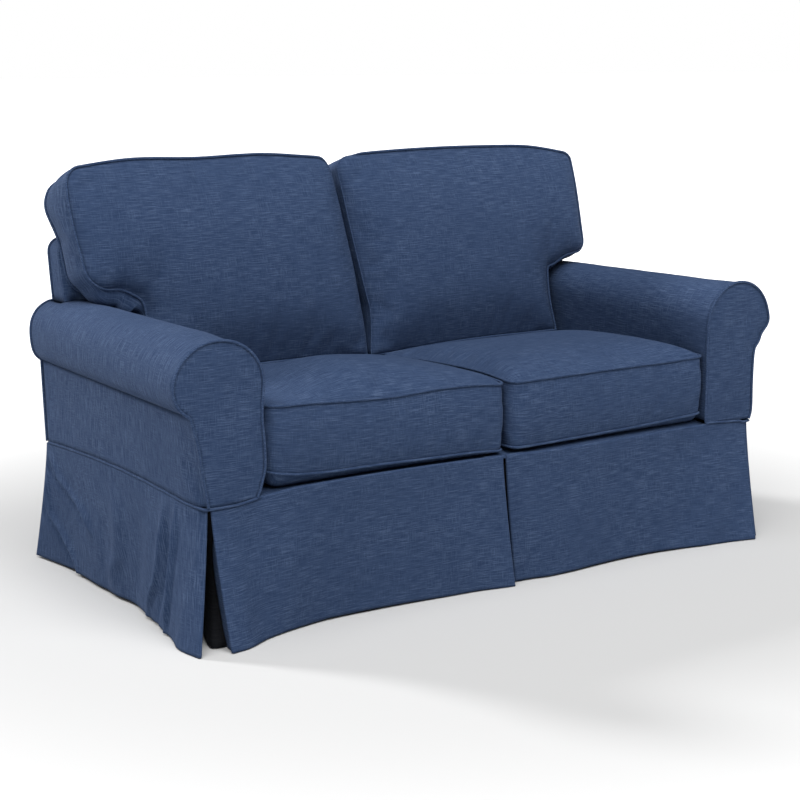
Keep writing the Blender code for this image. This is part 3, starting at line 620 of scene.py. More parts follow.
def makeBack():
    path = bothHalves(through(frameOutline(), [3, 3] + [2] * 6 + [8, 8, 10, 10]))
    bandCells = backCloth["band"]

    def band(i, j):
        point = path[i]
        near = insideBackAt(point.y) + cloth["thick"] + cloth["gap"]
        far = outsideBackAt(point.y) - cloth["thick"] - cloth["leanGap"]
        return spot(point.x, mix(near, far, j / bandCells), point.y)

    layCloth("backBand", (len(path) - 1, bandCells), band, lambda p: p - spot(0.0, 0.70, 0.55),
             stretchedSheet((1.69, 0.05), ["insideBack", "outsideBack"]))

    overArm = through(armSection(armCloth["frameAt"], 1, 0.0012)[:frameColumnIndex + 1],
                      arm["steps"][:frameColumnIndex])
    cut = next(k for k, point in enumerate(overArm) if point.x > backFrame["half"])
    overArm = overArm[:cut] + [onFrameSide(overArm[cut - 1], overArm[cut])]
    cutPanel("insideBack", bothHalves(overArm + frameOutline()[1:]), lambda x, z: spot(x, insideBackAt(z), z),
             lambda p: Vector((0, -1, 0)), backCloth["inside"],
             stretchedSheet((1.41, 0.45), ["backBand"], area=0.53),
             lambda place, rim: 0.0012 * soft((place.x, 0, place.y), 0.15, 5.0) * ease(rim / 0.04))

    foot = seamLevel(0.0, backFrame["outside"][0]) + seam["above"]
    low = Vector((seam["corner"], seamLevel(seam["corner"], 0.70) + seam["above"]))
    section = through(armSection(1.0, 1), arm["steps"])
    cut = next(k for k, point in enumerate(section) if point.x > backFrame["half"] and point.y > 0.55)
    aroundEnd = section[cut:][::-1] + [onFrameSide(section[cut - 1], section[cut])]
    path = bothHalves([low, low.lerp(Vector(arm["neckRear"]), 0.5)] + aroundEnd + frameOutline()[1:])
    cutPanel("outsideBack", path + plan((0.55, foot), (0.0, foot), (-0.55, foot)),
             lambda x, z: spot(x, outsideBackAt(z), z), lambda p: Vector((0, 1, 0)), backCloth["outside"],
             stretchedSheet((1.52, 0.45), ["backBand"], area=0.63, with_pieces=["outsideBackWelt"]),
             lambda place, rim: (0.0016 * soft((place.x, 0, place.y * 0.7), 0.14, 9.0) - 0.0004) * ease(rim / 0.03))
    sewWelt("outsideBackWelt", [spot(p.x, outsideBackAt(p.y) - 0.0016, p.y) for p in pushedOut(path, 0.0006)])

    half = arm["well"] + cloth["thick"]
    near = cloth["weltRadius"] + 2 * cloth["gap"]
    far = insideBackAt(deck["top"]) + cloth["thick"]
    across, along = backCloth["deck"]
    layCloth("seatDeck", (across, along),
             lambda i, j: spot(mix(-half, half, i / across), mix(near, far, j / along), deck["top"]),
             lambda p: Vector((0, 0, 1)), stretchedSheet((1.18, 0.60), ["insideBack"]),
             relief=lambda i, j, point: -0.0012 * (0.5 + 0.5 * soft(point, 0.1, 11.0))
             * ease(min(i, across - i, j, along - j) / 4) - 0.010 * ease(1 - j / 2.5))


seamRear = backFrame["outside"][0] - 0.0015


def seamHalf(side):
    front = [(out, 0.0) for out in (0.2, 0.4, 0.52, 0.60, 0.66)]
    foot = seamOut(0.0, side)
    corner = [(foot - 0.008, 0.0), (foot + 0.0065, 0.0035)]
    beside = [(seamOut(depth, side) - 0.0010, depth)
              for depth in (0.02, 0.06, 0.14, 0.24, 0.35, 0.46, 0.56, 0.64, 0.692)]
    return front + corner + beside + [(out, seamRear) for out in (seam["corner"] - 0.005, 0.64, 0.55, 0.3)]


def makeSeam():
    right = seamHalf(1) + [(0.0, seamRear)]
    loop = [(0.0, 0.0)] + right + [(-out, depth) for out, depth in seamHalf(-1)][::-1]
    line = dotted([spot(x, depth, seamLevel(x, depth)) for x, depth in loop], 0.01)
    for point in line:
        if point.y < armFrontY + 0.0005 and abs(point.x) < 0.705:
            inner = ease((0.602 - abs(point.x)) / 0.02)  # under the cushions the skirt's top covers it
            point.z = skirtTop(point.x) + mix(0.0030, -0.0045, inner)
            point.y += mix(0.0, 0.0068, inner)
    sewWelt("skirtSeamWelt", [p + Vector((0, 0, 0.0006 * soft(p, 0.05, 12.0))) for p in line], closed=True)


makeBack()
makeSeam()
print("back, deck and seam made")


# skirt

skirt = {
    "turn": 0.004, "return": 0.045, "openReturn": 0.032, "rows": 50, "step": 0.0048,
    "backStep": 0.014, "backHalf": 0.724,
    "opened": ((0.0, 0.0), (0.12, 0.012), (0.30, 0.027), (0.85, 0.029), (1.0, 0.027)),
    "skirtFrontLeft": ((-0.700, -0.070, 0.002), (-0.664, -0.064, 0.002), (-0.603, -0.037, 0.003),
                  (-0.519, -0.012, 0.004), (-0.430, -0.002, 0.005), (-0.300, -0.006, 0.005),
                  (-0.152, -0.015, 0.003), (-0.082, -0.021, 0.003), (-0.031, -0.031, 0.002),
                  (0.004, -0.037, 0.001)),
    "skirtFrontRight": ((0.027, -0.015, 0.003), (0.066, -0.019, 0.004), (0.138, -0.028, 0.004),
                   (0.258, -0.022, 0.005), (0.409, -0.021, 0.005), (0.547, -0.041, 0.003),
                   (0.606, -0.046, 0.002), (0.698, -0.068, 0.002)),
    "skirtSideLeft": ((-0.055, 0.771, 0.002), (-0.008, 0.779, 0.002), (0.021, 0.778, 0.002),
                 (0.076, 0.764, 0.004), (0.133, 0.756, 0.006), (0.200, 0.746, 0.008),
                 (0.293, 0.735, 0.008), (0.363, 0.737, 0.008), (0.447, 0.743, 0.008),
                 (0.552, 0.742, 0.008), (0.613, 0.739, 0.006), (0.699, 0.751, 0.005),
                 (0.750, 0.761, 0.006)),
    "skirtSideRight": ((-0.046, 0.724, 0.002), (-0.006, 0.742, 0.002), (0.040, 0.750, 0.003),
                  (0.110, 0.748, 0.006), (0.190, 0.741, 0.008), (0.280, 0.744, 0.008),
                  (0.370, 0.738, 0.008), (0.460, 0.742, 0.008), (0.552, 0.741, 0.008),
                  (0.640, 0.744, 0.006), (0.742, 0.760, 0.002)),
    "skirtBack": ((0.700, 0.749, 0.002), (0.60, 0.739, 0.003), (0.45, 0.733, 0.004), (0.2, 0.734, 0.004),
             (0.0, 0.733, 0.004)),
}
# soft folds: where each runs as (share of the way down, place along the panel), half width, height,
# and for some how much steeper one side is
folds = {
    "skirtSideLeft": (
        (((0.15, 0.710), (0.37, 0.704), (0.56, 0.690), (0.63, 0.671), (0.73, 0.632), (0.86, 0.594), (1.0, 0.565)),
         0.011, 0.0105, 1.6),
        (((0.15, 0.730), (0.37, 0.724), (0.56, 0.712), (0.63, 0.695), (0.73, 0.658), (0.86, 0.620), (1.0, 0.592)),
         0.018, -0.0075),
        (((0.0, 0.700), (0.11, 0.680), (0.27, 0.634), (0.37, 0.577), (0.45, 0.531), (0.60, 0.490)), 0.013, 0.0100, 1.6),
        (((0.0, 0.730), (0.11, 0.714), (0.27, 0.670), (0.37, 0.615), (0.45, 0.570), (0.60, 0.530)), 0.026, -0.0080),
        (((0.30, 0.440), (0.60, 0.430), (1.0, 0.420)), 0.030, -0.0030),
        (((0.12, 0.374), (0.45, 0.361), (0.68, 0.361), (0.83, 0.384), (1.0, 0.372)), 0.034, 0.0080),
        (((0.2, 0.270), (0.6, 0.265), (1.0, 0.290)), 0.040, -0.0050),
        (((0.05, 0.146), (0.35, 0.150), (0.57, 0.158), (0.69, 0.168), (0.83, 0.192), (1.0, 0.212)), 0.015, 0.0105),
        (((0.1, 0.124), (0.60, 0.126), (0.80, 0.142), (1.0, 0.155)), 0.011, -0.0060),
        (((0.0, 0.100), (0.16, 0.092), (0.45, 0.092), (0.74, 0.096), (1.0, 0.105)), 0.010, 0.0115),
        (((0.2, 0.045), (0.6, 0.040), (1.0, 0.045)), 0.020, -0.0025),
    ),
    "skirtSideRight": (
        (((0.0, 0.690), (0.5, 0.650), (1.0, 0.610)), 0.030, 0.0065),
        (((0.1, 0.480), (1.0, 0.460)), 0.055, 0.0070),
        (((0.1, 0.250), (1.0, 0.280)), 0.060, -0.0050),
        (((0.1, 0.120), (1.0, 0.150)), 0.030, 0.0060),
    ),
    "skirtFrontLeft": (
        (((0.0, -0.640), (0.5, -0.625), (1.0, -0.600)), 0.045, -0.0055),
        (((0.2, -0.540), (1.0, -0.520)), 0.050, 0.0035),
        (((0.1, -0.330), (1.0, -0.300)), 0.080, -0.0025),
        (((0.3, -0.120), (1.0, -0.100)), 0.070, 0.0030),
    ),
    "skirtFrontRight": (
        (((0.1, 0.090), (1.0, 0.100)), 0.030, 0.0030),
        (((0.1, 0.300), (1.0, 0.330)), 0.080, -0.0030),
        (((0.0, 0.520), (1.0, 0.500)), 0.060, -0.0045),
        (((0.1, 0.620), (1.0, 0.600)), 0.050, 0.0045),
    ),
    "skirtBack": (
        (((0.1, -0.50), (1.0, -0.46)), 0.060, 0.0040),
        (((0.1, -0.22), (1.0, -0.20)), 0.070, -0.0035),
        (((0.1, 0.12), (1.0, 0.15)), 0.060, 0.0035),
        (((0.1, 0.45), (1.0, 0.47)), 0.070, -0.0035),
    ),
}


def foldHeight(rows, place, drop):
    total = 0.0
    for path, halfWidth, height, *lean in rows:
        starts, ends = path[0][0], path[-1][0]
        reach = (place - curved(path, drop)) / halfWidth
        if lean:
            reach *= lean[0] if reach > 0 else 1 / lean[0]
        if abs(reach) < 2.5:
            grown = ease((drop - starts) / 0.35 + 0.15)
            gone = 1.0 if ends > 0.9 else ease((ends + 0.1 - drop) / 0.2)
            total += height * math.exp(-1.6 * reach * reach) * grown * gone
    return total * mix(1.0, 0.45, ease((drop - 0.80) / 0.20))


def pointBack(line, distance):
    for end, start in zip(line[::-1], line[-2::-1]):
        length = (end - start).length
        if distance <= length:
            return end.lerp(start, distance / length)
        distance -= length
    return line[0]


def turnedEdge(stations, inward, length):  # carries a panel's last edge round its pleat fold and back
    extra, lines = [], []
    for k in (0, 1):
        line = [station[k] for station in stations]
        run = (line[-1] - line[-2]).normalized()
        lines.append((line, run, (inward - run * inward.dot(run)).normalized()))
    for angle in (30, 60, 90, 120, 150, 180):
        turn = math.radians(angle)
        extra.append(tuple(line[-1] + (run * math.sin(turn) + into * (1 - math.cos(turn))) * skirt["turn"]
                           for line, run, into in lines))
    for share in (0.25, 0.5, 0.75, 1.0):
        extra.append(tuple(pointBack(line, length * share) + into * (2 * skirt["turn"])
                           for line, run, into in lines))
    return extra


def skirtPoints(stations, rows):
    made = []
    for k in range(rows + 1):
        drop = k / rows
        swing = drop ** 1.25
        made.append([Vector((mix(top.x, hem.x, swing), mix(top.y, hem.y, swing), mix(top.z, hem.z, drop)))
                     for top, hem in stations])
    return made


def densified(table, step):  # hem rows (place, value, height) read smoothly, a step apart
    rows = [(row[0], Vector(row[1:])) for row in table]
    first, last = rows[0][0], rows[-1][0]
    count = round(abs(last - first) / step)
    return [(mix(first, last, k / count), curved(rows, mix(first, last, k / count))) for k in range(count + 1)]


def hangPanel(name, topAt, hemAt, along, outward, facts, hem=None, step=skirt["step"], opened=()):
    table = densified(hem or skirt[name], step)
    start, end = table[0][0], table[-1][0]
    stations = [(topAt((at - start) / (end - start)), hemAt(at, *value)) for at, value in table]
    before = turnedEdge(stations[::-1], -outward, skirt["openReturn" if opened else "return"])[::-1]
    after = turnedEdge(stations, -outward, skirt["return"])
    rows = skirt["rows"]
    points = skirtPoints(before + stations + after, rows)
    if opened:  # the turned-in strip stands open at the panel's first edge
        for k, line in enumerate(points):
            width = curved(opened, k / rows)
            toFold = (line[4] - line[0]).normalized()
            for i, share in enumerate((1.0, 0.75, 0.5, 0.25)):
                line[i] += (toFold - outward) * width * share
    first, last = len(before), len(before) + len(stations) - 1
    for k, line in enumerate(points):
        drop = k / rows
        for i, point in enumerate(line):
            nearest = min(max(i, first), last)
            place = along(line[nearest])
            edge = ease(min(nearest - first, last - nearest) / 4)
            stand = foldHeight(folds[name], place, drop) * (1.0 if first < i < last else 0.0)
            wander = 0.0014 * soft((place * 1.6, 0.0, drop * 0.12), 0.10, len(pieces)) * drop * edge
            hemLine = -0.0004 * math.exp(-((point.z - 0.028) / 0.0018) ** 2)
            rumple = (0.0009 * soft((place * 1.3, 0.0, point.z * 0.5), 0.035, 3.0 + len(pieces))
                      * ease(drop * 3) * ease((1.02 - drop) * 5) * edge)
            line[i] = point + outward * (stand * edge + wander + rumple + hemLine * edge)
    layCloth(name, (len(points[0]) - 1, rows), lambda i, j: points[rows - j][i], lambda p: outward, facts,
             turned=abs(outward.x) > 0.5)


def frontSkirt(word, start, end):
    def top(share):
        x = mix(start, end, share)
        return spot(x, 0.0, skirtTop(x))

    hangPanel("skirtFront" + word, top, spot, lambda p: p.x, Vector((0, -1, 0)),
              hungSheet((0.83, 0.29), area=0.225), opened=skirt["opened"] if word == "Left" else ())


def sideSkirt(side):
    def top(share):
        depth = mix(0.007, 0.7015, share)
        return spot(side * seamOut(depth, side), depth,
                    seamLevel(seam["corner"], min(depth, 0.69)) - seam["below"])

    hangPanel("skirtSide" + words[side], top, lambda depth, out, height: spot(side * out, depth, height),
              lambda p: p.y - armFrontY, Vector((side, 0, 0)), hungSheet((0.91, 0.29), area=0.24))


def backSkirt():
    half, rear = skirt["backHalf"], backFrame["outside"][0]

    def top(share):
        x = mix(-half, half, share)
        return spot(x, rear, seamLevel(x, rear) - seam["below"])

    whole = [(-x, depth, height) for x, depth, height in skirt["skirtBack"]] + list(skirt["skirtBack"][-2::-1])
    hangPanel("skirtBack", top, spot, lambda p: p.x, Vector((0, 1, 0)), hungSheet((1.55, 0.29), area=0.43),
              hem=whole, step=skirt["backStep"])


insets = {
    "rows": 20, "flat": (0.19, 0.26), "middleFlat": (0.16, 0.26), "under": 0.0065, "hem": 0.004,
    "deep": (0.022, 0.028),
    "frontHem": {
        -1: ((0.635, -0.020), (0.680, -0.026), (0.712, -0.029), (0.724, -0.020), (0.712, 0.025), (0.692, 0.070)),
        1: ((0.635, -0.026), (0.668, -0.032), (0.692, -0.031), (0.701, -0.022), (0.713, 0.030), (0.715, 0.085)),
    },
    "rearTop": ((0.640, 0.6885), (0.675, 0.6885), (0.720, 0.6880), (0.728, 0.6820), (0.722, 0.650), (0.720, 0.615)),
    "rearHem": ((0.640, 0.716), (0.680, 0.718), (0.712, 0.716), (0.720, 0.706), (0.713, 0.660), (0.708, 0.615)),
    "middleTop": ((-0.070, 0.0112), (0.0, 0.0112), (0.075, 0.0112)),
    "middleHem": ((-0.070, 0.004), (0.015, 0.006), (0.100, 0.004)),
}


def hangInset(name, tops, hems, flat, deep=Vector()):
    rows = insets["rows"]
    level = seam["height"] - seam["droop"] - insets["under"]
    stations = [(spot(top.x, top.y, level), spot(hem.x, hem.y, insets["hem"]))
                for top, hem in zip(through(plan(*tops), 4), through(plan(*hems), 4))]
    points = [[point + deep * math.sin(math.pi * k / rows) for point in line]
              for k, line in enumerate(skirtPoints(stations, rows))]
    halfWay = points[rows // 2]
    inner = Vector((0.0, -0.05, (sum(halfWay, Vector()) / len(halfWay)).z))
    across = len(stations) - 1
    layCloth(name, (across, rows), lambda i, j: points[rows - j][i], lambda p: p - inner, hungSheet(flat),
             relief=lambda i, j, point: 0.0010 * soft(point, 0.06, 14.0)
             * ease(min(i, across - i) / 3) * ease((rows - j) / 5))


def makeInsets():
    behind = 2 * skirt["turn"] + cloth["thick"] + 0.002
    aside, inward = insets["deep"]
    for side, word in words.items():
        frontTop = [(0.640, 0.0112), (0.675, 0.0112), (seamOut(0.0, side) - 0.009, 0.0116)]
        frontTop += [(seamOut(depth, side) - behind, depth) for depth in (0.018, 0.05, 0.085)]
        for part, tops, hems, deep in (
                ("Front", frontTop, insets["frontHem"][side], Vector((-side * aside, inward, 0.0))),
                ("Back", insets["rearTop"], insets["rearHem"], Vector())):
            hangInset("pleatInset" + part + word, [(side * x, depth) for x, depth in tops],
                      [(side * x, depth) for x, depth in hems], insets["flat"], deep)
    hangInset("pleatInsetMiddle", insets["middleTop"], insets["middleHem"], insets["middleFlat"])


frontSkirt("Left", -0.702, -0.005)
frontSkirt("Right", 0.011, 0.7165)
sideSkirt(-1)
sideSkirt(1)
backSkirt()
makeInsets()
print("skirt made")


# cushions

def finer(values, cell):
    made = []
    for start, end in zip(values, values[1:]):
        count = max(1, round((end - start) / cell))
        made += [mix(start, end, k / count) for k in range(count)]
    return made + [values[-1]]


def swell(distance, reach, rise):
    share = min(distance / reach, 1.0)
    return rise * math.sqrt(1 - (1 - share) ** 2)


def cornerRound(point, corners):
    for cornerX, cornerY, radius, wayX, wayY in corners:
        pivot = Vector((cornerX - wayX * radius, cornerY - wayY * radius))
        a, b = (point.x - pivot.x) * wayX / radius, (point.y - pivot.y) * wayY / radius
        if -1e-4 < a < 1.0001 and -1e-4 < b < 1.0001:
            return Vector((pivot.x + wayX * radius * a * math.sqrt(1 - b * b / 2),
                           pivot.y + wayY * radius * b * math.sqrt(1 - a * a / 2)))
    return point


def rimOf(bm, grid):  # the open edge as one anticlockwise list of grid places
    places = {vert: key for key, vert in grid.items() if vert.is_valid}
    steps = {}
    for edge in bm.edges:
        if edge.is_boundary:
            loop = edge.link_loops[0]
            steps[places[loop.vert]] = places[loop.link_loop_next.vert]
    line = [min(steps)]
    while steps[line[-1]] != line[0]:
        line.append(steps[line[-1]])
    return line


def relaxed(flat, rim, centre, radius, rounds):  # rounds a sharp inner corner and eases the cells by it
    size, rimAt = len(rim), {key: k for k, key in enumerate(rim)}
    weight = {key: ease(1.6 * (1 - (place - centre).length / radius)) for key, place in flat.items()
              if (place - centre).length < radius}
    for _ in range(rounds):
        moved = {}
        for key, share in weight.items():
            if key in rimAt:
                near = [rim[rimAt[key] - 1], rim[(rimAt[key] + 1) % size]]
            else:
                i, j = key
                near = [other for other in ((i - 1, j), (i + 1, j), (i, j - 1), (i, j + 1)) if other in flat]
            middle = sum((flat[other] for other in near), Vector((0.0, 0.0))) / len(near)
            moved[key] = flat[key].lerp(middle, 0.5 * share)
        flat.update(moved)


def rimDistances(flat, rim, outline, spacing=0.002):  # distance from the rim, without creases at its corners
    dots = np.array([tuple(dot) for dot in dotted(outline, spacing)])
    keys = list(flat)
    places = np.array([tuple(flat[key]) for key in keys])
    nearness = np.zeros(len(keys))
    for at in range(0, len(keys), 400):
        gaps = ((places[at:at + 400, None, :] - dots[None, :, :]) ** 2).sum(2)
        nearness[at:at + 400] = (spacing / np.maximum(gaps, 1e-6) ** 2).sum(1)
    distance = (nearness * 2 / math.pi) ** (-1 / 3)
    rimKeys = set(rim)
    return {key: (0.0 if key in rimKeys else float(d)) for key, d in zip(keys, distance)}


def makeCushion(name, facts):
    columns, rows = facts["columns"], facts["rows"]
    bm, grid, layers = flatGrid(len(columns) - 1, len(rows) - 1, ("planX", "planY", "arcAt", "passed"))
    planX, planY, arcAt, passed = layers
    for (i, j), vert in grid.items():
        vert.co = (columns[i], rows[j], 0.0)
    gone = [face for face in bm.faces if not facts["inside"](face.calc_center_median())]
    bmesh.ops.delete(bm, geom=gone, context="FACES")
    grid = {key: vert for key, vert in grid.items() if vert.is_valid}
    rim = rimOf(bm, grid)
    flat = {key: facts["shape"](key[0], key[1], Vector((columns[key[0]], rows[key[1]]))) for key in grid}
    for centre, radius, rounds in facts.get("relax", ()):
        relaxed(flat, rim, Vector(centre), radius, rounds)
    outline = [flat[key] for key in rim]
    arcs = [0.0]
    for start, end in zip(outline, outline[1:] + outline[:1]):
        arcs.append(arcs[-1] + (end - start).length)
    total = arcs[-1]
    away = rimDistances(flat, rim, outline)

    # the near and the far face, and the boxing between them
    keyOf = {}
    for key, vert in grid.items():
        vert[planX], vert[planY] = flat[key]
        vert[arcAt], vert[passed] = -1.0, 0.0
        keyOf[round(flat[key].x, 6), round(flat[key].y, 6)] = key
    for k, key in enumerate(rim):
        grid[key][arcAt] = k
    made = bmesh.ops.extrude_face_region(bm, geom=bm.faces[:])
    for item in made["geom"]:
        if isinstance(item, bmesh.types.BMVert):
            item[passed] = 1.0
    nearAt, farAt = {}, {}
    for vert in bm.verts:
        key = keyOf[round(vert[planX], 6), round(vert[planY], 6)]
        surface, found = (facts["far"], farAt) if vert[passed] > 0.5 else (facts["near"], nearAt)
        vert.co = surface(flat[key], away[key])
        found[key] = vert.co.copy()
    across = [edge for edge in bm.edges if abs(edge.verts[0][passed] - edge.verts[1][passed]) > 0.5]
    bmesh.ops.subdivide_edges(bm, edges=across, cuts=facts["boxing"] - 1, use_grid_fill=False)

    # the boxing swells out between its two welts
    sides, welts, radii = [], {"Front": [], "Rear": []}, {"Front": [], "Rear": []}
    for k, key in enumerate(rim):
        outward = mitre(outline[k - 1], outline[k], outline[(k + 1) % len(rim)])
        side = (facts["near"](flat[key] + outward * 0.001, 0.0) - facts["near"](flat[key], 0.0)).normalized()
        sides.append((side, outward))
        throughWay = (nearAt[key] - farAt[key]).normalized()
        for word, corner, way in (("Front", nearAt[key], throughWay), ("Rear", farAt[key], -throughWay)):
            clear = (cloth["weltRadius"] - 0.0008) / (side + way).length
            thin = facts["thin"](outline[k])
            welts[word].append(corner + (side * outward.length * thin + way * (2 * thin - 1)) * clear)
            radii[word].append(mix(0.65, 1.0, thin))
    for vert in bm.verts:
        if 0.001 < vert[passed] < 0.999:
            k = round(vert[arcAt]) % len(rim)
            side, outward = sides[k]
            amount, fullness, ahead = facts["bulge"](outline[k])
            profile = (1 - (2 * vert[passed] - 1) ** 2) ** fullness * (1 - ahead * 45 * vert[passed])
            vert.co += side * outward.length * amount * profile
            vert.co.y -= ahead * math.sin(math.pi * min(vert[passed] * 1.6, 1.0))
    bm.normal_update()
    middle = sum((vert.co for vert in bm.verts), Vector()) / len(bm.verts)
    faceOut(bm, lambda p: p - middle)

    # the weave follows each panel
    layer = bm.loops.layers.uv.new("weave")
    shift = 0.41 * (len(pieces) % 13)
    thick = (nearAt[rim[0]] - farAt[rim[0]]).length
    for face in bm.faces:
        face.smooth = True
        box = all(vert[arcAt] >= 0 for vert in face.verts) and len({round(v[passed], 4) for v in face.verts}) > 1
        arc = [arcs[round(vert[arcAt]) % len(rim)] for vert in face.verts] if box else []
        wraps = box and max(arc) - min(arc) > total / 2
        for k, loop in enumerate(face.loops):
            if box:
                here = arc[k] + (total if wraps and arc[k] < total / 2 else 0.0)
                loop[layer].uv = (here + shift, loop.vert[passed] * thick + 2 * shift)
            else:
                loop[layer].uv = (loop.vert[planX] + shift + loop.vert[passed], loop.vert[planY] + shift)
    bm.verts.index_update()
    onSeam = {vert.index for vert in bm.verts
              if vert[arcAt] >= 0 and (vert[passed] < 0.001 or vert[passed] > 0.999)}
    crease = bm.edges.layers.float.new("crease_edge")
    for edge in bm.edges:
        if all(vert.index in onSeam for vert in edge.verts) and edge.verts[0][passed] == edge.verts[1][passed]:
            edge[crease] = 0.85
    looseness = [facts["looseness"](Vector((vert[planX], vert[planY])), vert[passed],
                                    vert[arcAt] >= 0) for vert in bm.verts]
    piece = ownPiece(name, meshOf(name, bm), panelCloth)
    inflate(piece, onSeam, looseness, facts["cap"])
    assign(piece.modifiers.new("smooth", "SUBSURF"), levels=1, render_levels=1)
    for word, line in welts.items():
        sewWelt(name + "Welt" + word, line, True, radii[word])


filling = {
    "quality": 6, "mass": 0.25, "tension_stiffness": 22.0, "compression_stiffness": 22.0, "shear_stiffness": 8.0,
    "bending_stiffness": 0.7, "tension_damping": 12.0, "compression_damping": 12.0, "air_damping": 2.0,
    "use_pressure": True, "uniform_pressure_force": 3.2, "shrink_min": -0.012, "vertex_group_mass": "seams",
}
fillingFrames = 14


def inflate(piece, onSeam, looseness, cap):  # blows a case out, and moves no point by more than the cap
    scene, mesh = bpy.context.scene, piece.data

    def positions(source):
        found = np.zeros(len(mesh.vertices) * 3, np.float32)
        source.vertices.foreach_get("co", found)
        return found.reshape(-1, 3)

    before = positions(mesh)
    pins = piece.vertex_groups.new(name="seams")
    pins.add(sorted(onSeam), 1.0, "REPLACE")
    pins.add([k for k, share in enumerate(looseness) if share < 0.02], 1.0, "REPLACE")
    blow = piece.modifiers.new("filling", "CLOTH")
    assign(blow.settings, **filling)
    blow.settings.effector_weights.gravity = 0.0
    blow.collision_settings.use_collision = False
    assign(blow.point_cache, frame_start=1, frame_end=fillingFrames)
    for number in range(1, fillingFrames + 1):
        scene.frame_set(number)
    move = positions(piece.evaluated_get(bpy.context.evaluated_depsgraph_get()).data) - before
    piece.modifiers.remove(blow)
    piece.vertex_groups.remove(pins)
    scene.frame_set(1)
    length = np.linalg.norm(move, axis=1)
    most = np.array(looseness, np.float32) * cap
    share = most * np.tanh(length / np.maximum(most, 1e-6)) / np.maximum(length, 1e-9)
    print(piece.name, "swelled by up to", round(float(length.max()), 4))
    mesh.vertices.foreach_set("co", (before + move * share[:, None]).ravel())
    mesh.update()


seat = {
    "inner": {-1: -0.006, 1: 0.0250}, "front": 0.007, "rear": 0.594, "outer": {-1: 0.5775, 1: 0.5805},
    "tight": 0.022, "full": {-1: 0.030, 1: 0.016}, "waist": 0.005, "rest": 0.2895,
    "underside": {
        -1: ((0.0, 0.295), (0.066, 0.300), (0.175, 0.302), (0.315, 0.306), (0.43, 0.308), (0.514, 0.314),
             (0.58, 0.326)),
        1: ((0.010, 0.300), (0.05, 0.296), (0.25, 0.297), (0.40, 0.300), (0.50, 0.3045), (0.58, 0.309)),
    },
    "topSeam": ((0.0, 0.436), (0.12, 0.443), (0.30, 0.438), (0.44, 0.428), (0.52, 0.420), (0.60, 0.414)),
    "crown": {
        -1: ((0.0, 0.046), (0.06, 0.054), (0.12, 0.056), (0.20, 0.055), (0.28, 0.042), (0.36, 0.026), (0.48, 0.012),
             (0.53, 0.005), (0.60, 0.004)),
        1: ((0.0, 0.026), (0.34, 0.026), (0.48, 0.012), (0.53, 0.005), (0.60, 0.004)),
    },
    "dome": {
        -1: ((0.0, 0.25), (0.03, 0.27), (0.10, 0.50), (0.20, 0.82), (0.30, 1.0), (0.34, 1.0), (0.386, 0.82),
             (0.434, 0.55), (0.481, 0.18), (0.52, 0.05), (0.58, 0.0)),
        1: ((0.0, 1.0), (0.60, 1.0)),
    },
    "lift": {
        -1: ((0.0, 0.0), (0.068, 0.006), (0.16, 0.008), (0.275, 0.004), (0.385, 0.008), (0.48, 0.014), (0.544, 0.016),
             (0.58, 0.020)),
        1: ((0.48, 0.0), (0.58, 0.003)),
    },
    "cell": 0.0105,
}


def makeSeatCushion(side):
    inner, front, rear, outer = seat["inner"][side], seat["front"], seat["rear"], seat["outer"][side]
    tight, full = seat["tight"], seat["full"][side]
    corners = ((inner, front, tight, -1, -1), (outer, front, full, 1, -1),
               (inner, rear, tight, -1, 1), (outer, rear, tight, 1, 1))
    middle = Vector(((inner + outer) / 2, (front + rear) / 2))
    half = Vector((outer - middle.x, rear - middle.y))

    def shape(i, j, point):
        point = cornerRound(point, corners)
        off = Vector(((point.x - middle.x) / half.x, (point.y - middle.y) / half.y))
        return Vector((point.x - seat["waist"] * off.x * math.cos(math.pi / 2 * off.y),
                       point.y - seat["waist"] * off.y * math.cos(math.pi / 2 * off.x)))

    def lift(place):
        return curved(seat["lift"][side], place.x) * clamp(1 - (place.y - front) / 0.10)

    def top(place, distance):
        height = curved(seat["topSeam"], place.y) + lift(place)
        crown = curved(seat["crown"][side], place.y) * curved(seat["dome"][side], place.x)
        return spot(side * place.x, place.y, height + swell(distance, 0.16, crown))

    def underside(place, distance):
        edge = mix(curved(seat["underside"][side], place.x), 0.3005, ease((place.y - front - 0.03) / 0.12))
        rest = seat["rest"] - 0.007 * ease((front + 0.04 - place.y) / 0.04)
        return spot(side * place.x, place.y, edge - swell(distance, 0.024, edge - rest))

    def looseness(place, passed, boxing):
        if boxing:
            return 0.45 if place.y < front + 0.03 else 0.05
        return 0.0 if passed > 0.5 else 0.8 * ease((0.56 - place.y) / 0.10)

    makeCushion("seatCushion" + words[side], {
        "columns": finer([inner, inner + tight, outer - full, outer], seat["cell"]),
        "rows": finer([front, front + full, rear - tight, rear], seat["cell"]),
        "inside": lambda p: True, "shape": shape, "near": top, "far": underside, "looseness": looseness,
        "bulge": lambda place: (seat["waist"], 0.8, 0.0), "thin": lambda place: 1.0,
        "boxing": 14, "cap": 0.009, "fill": 0.8})


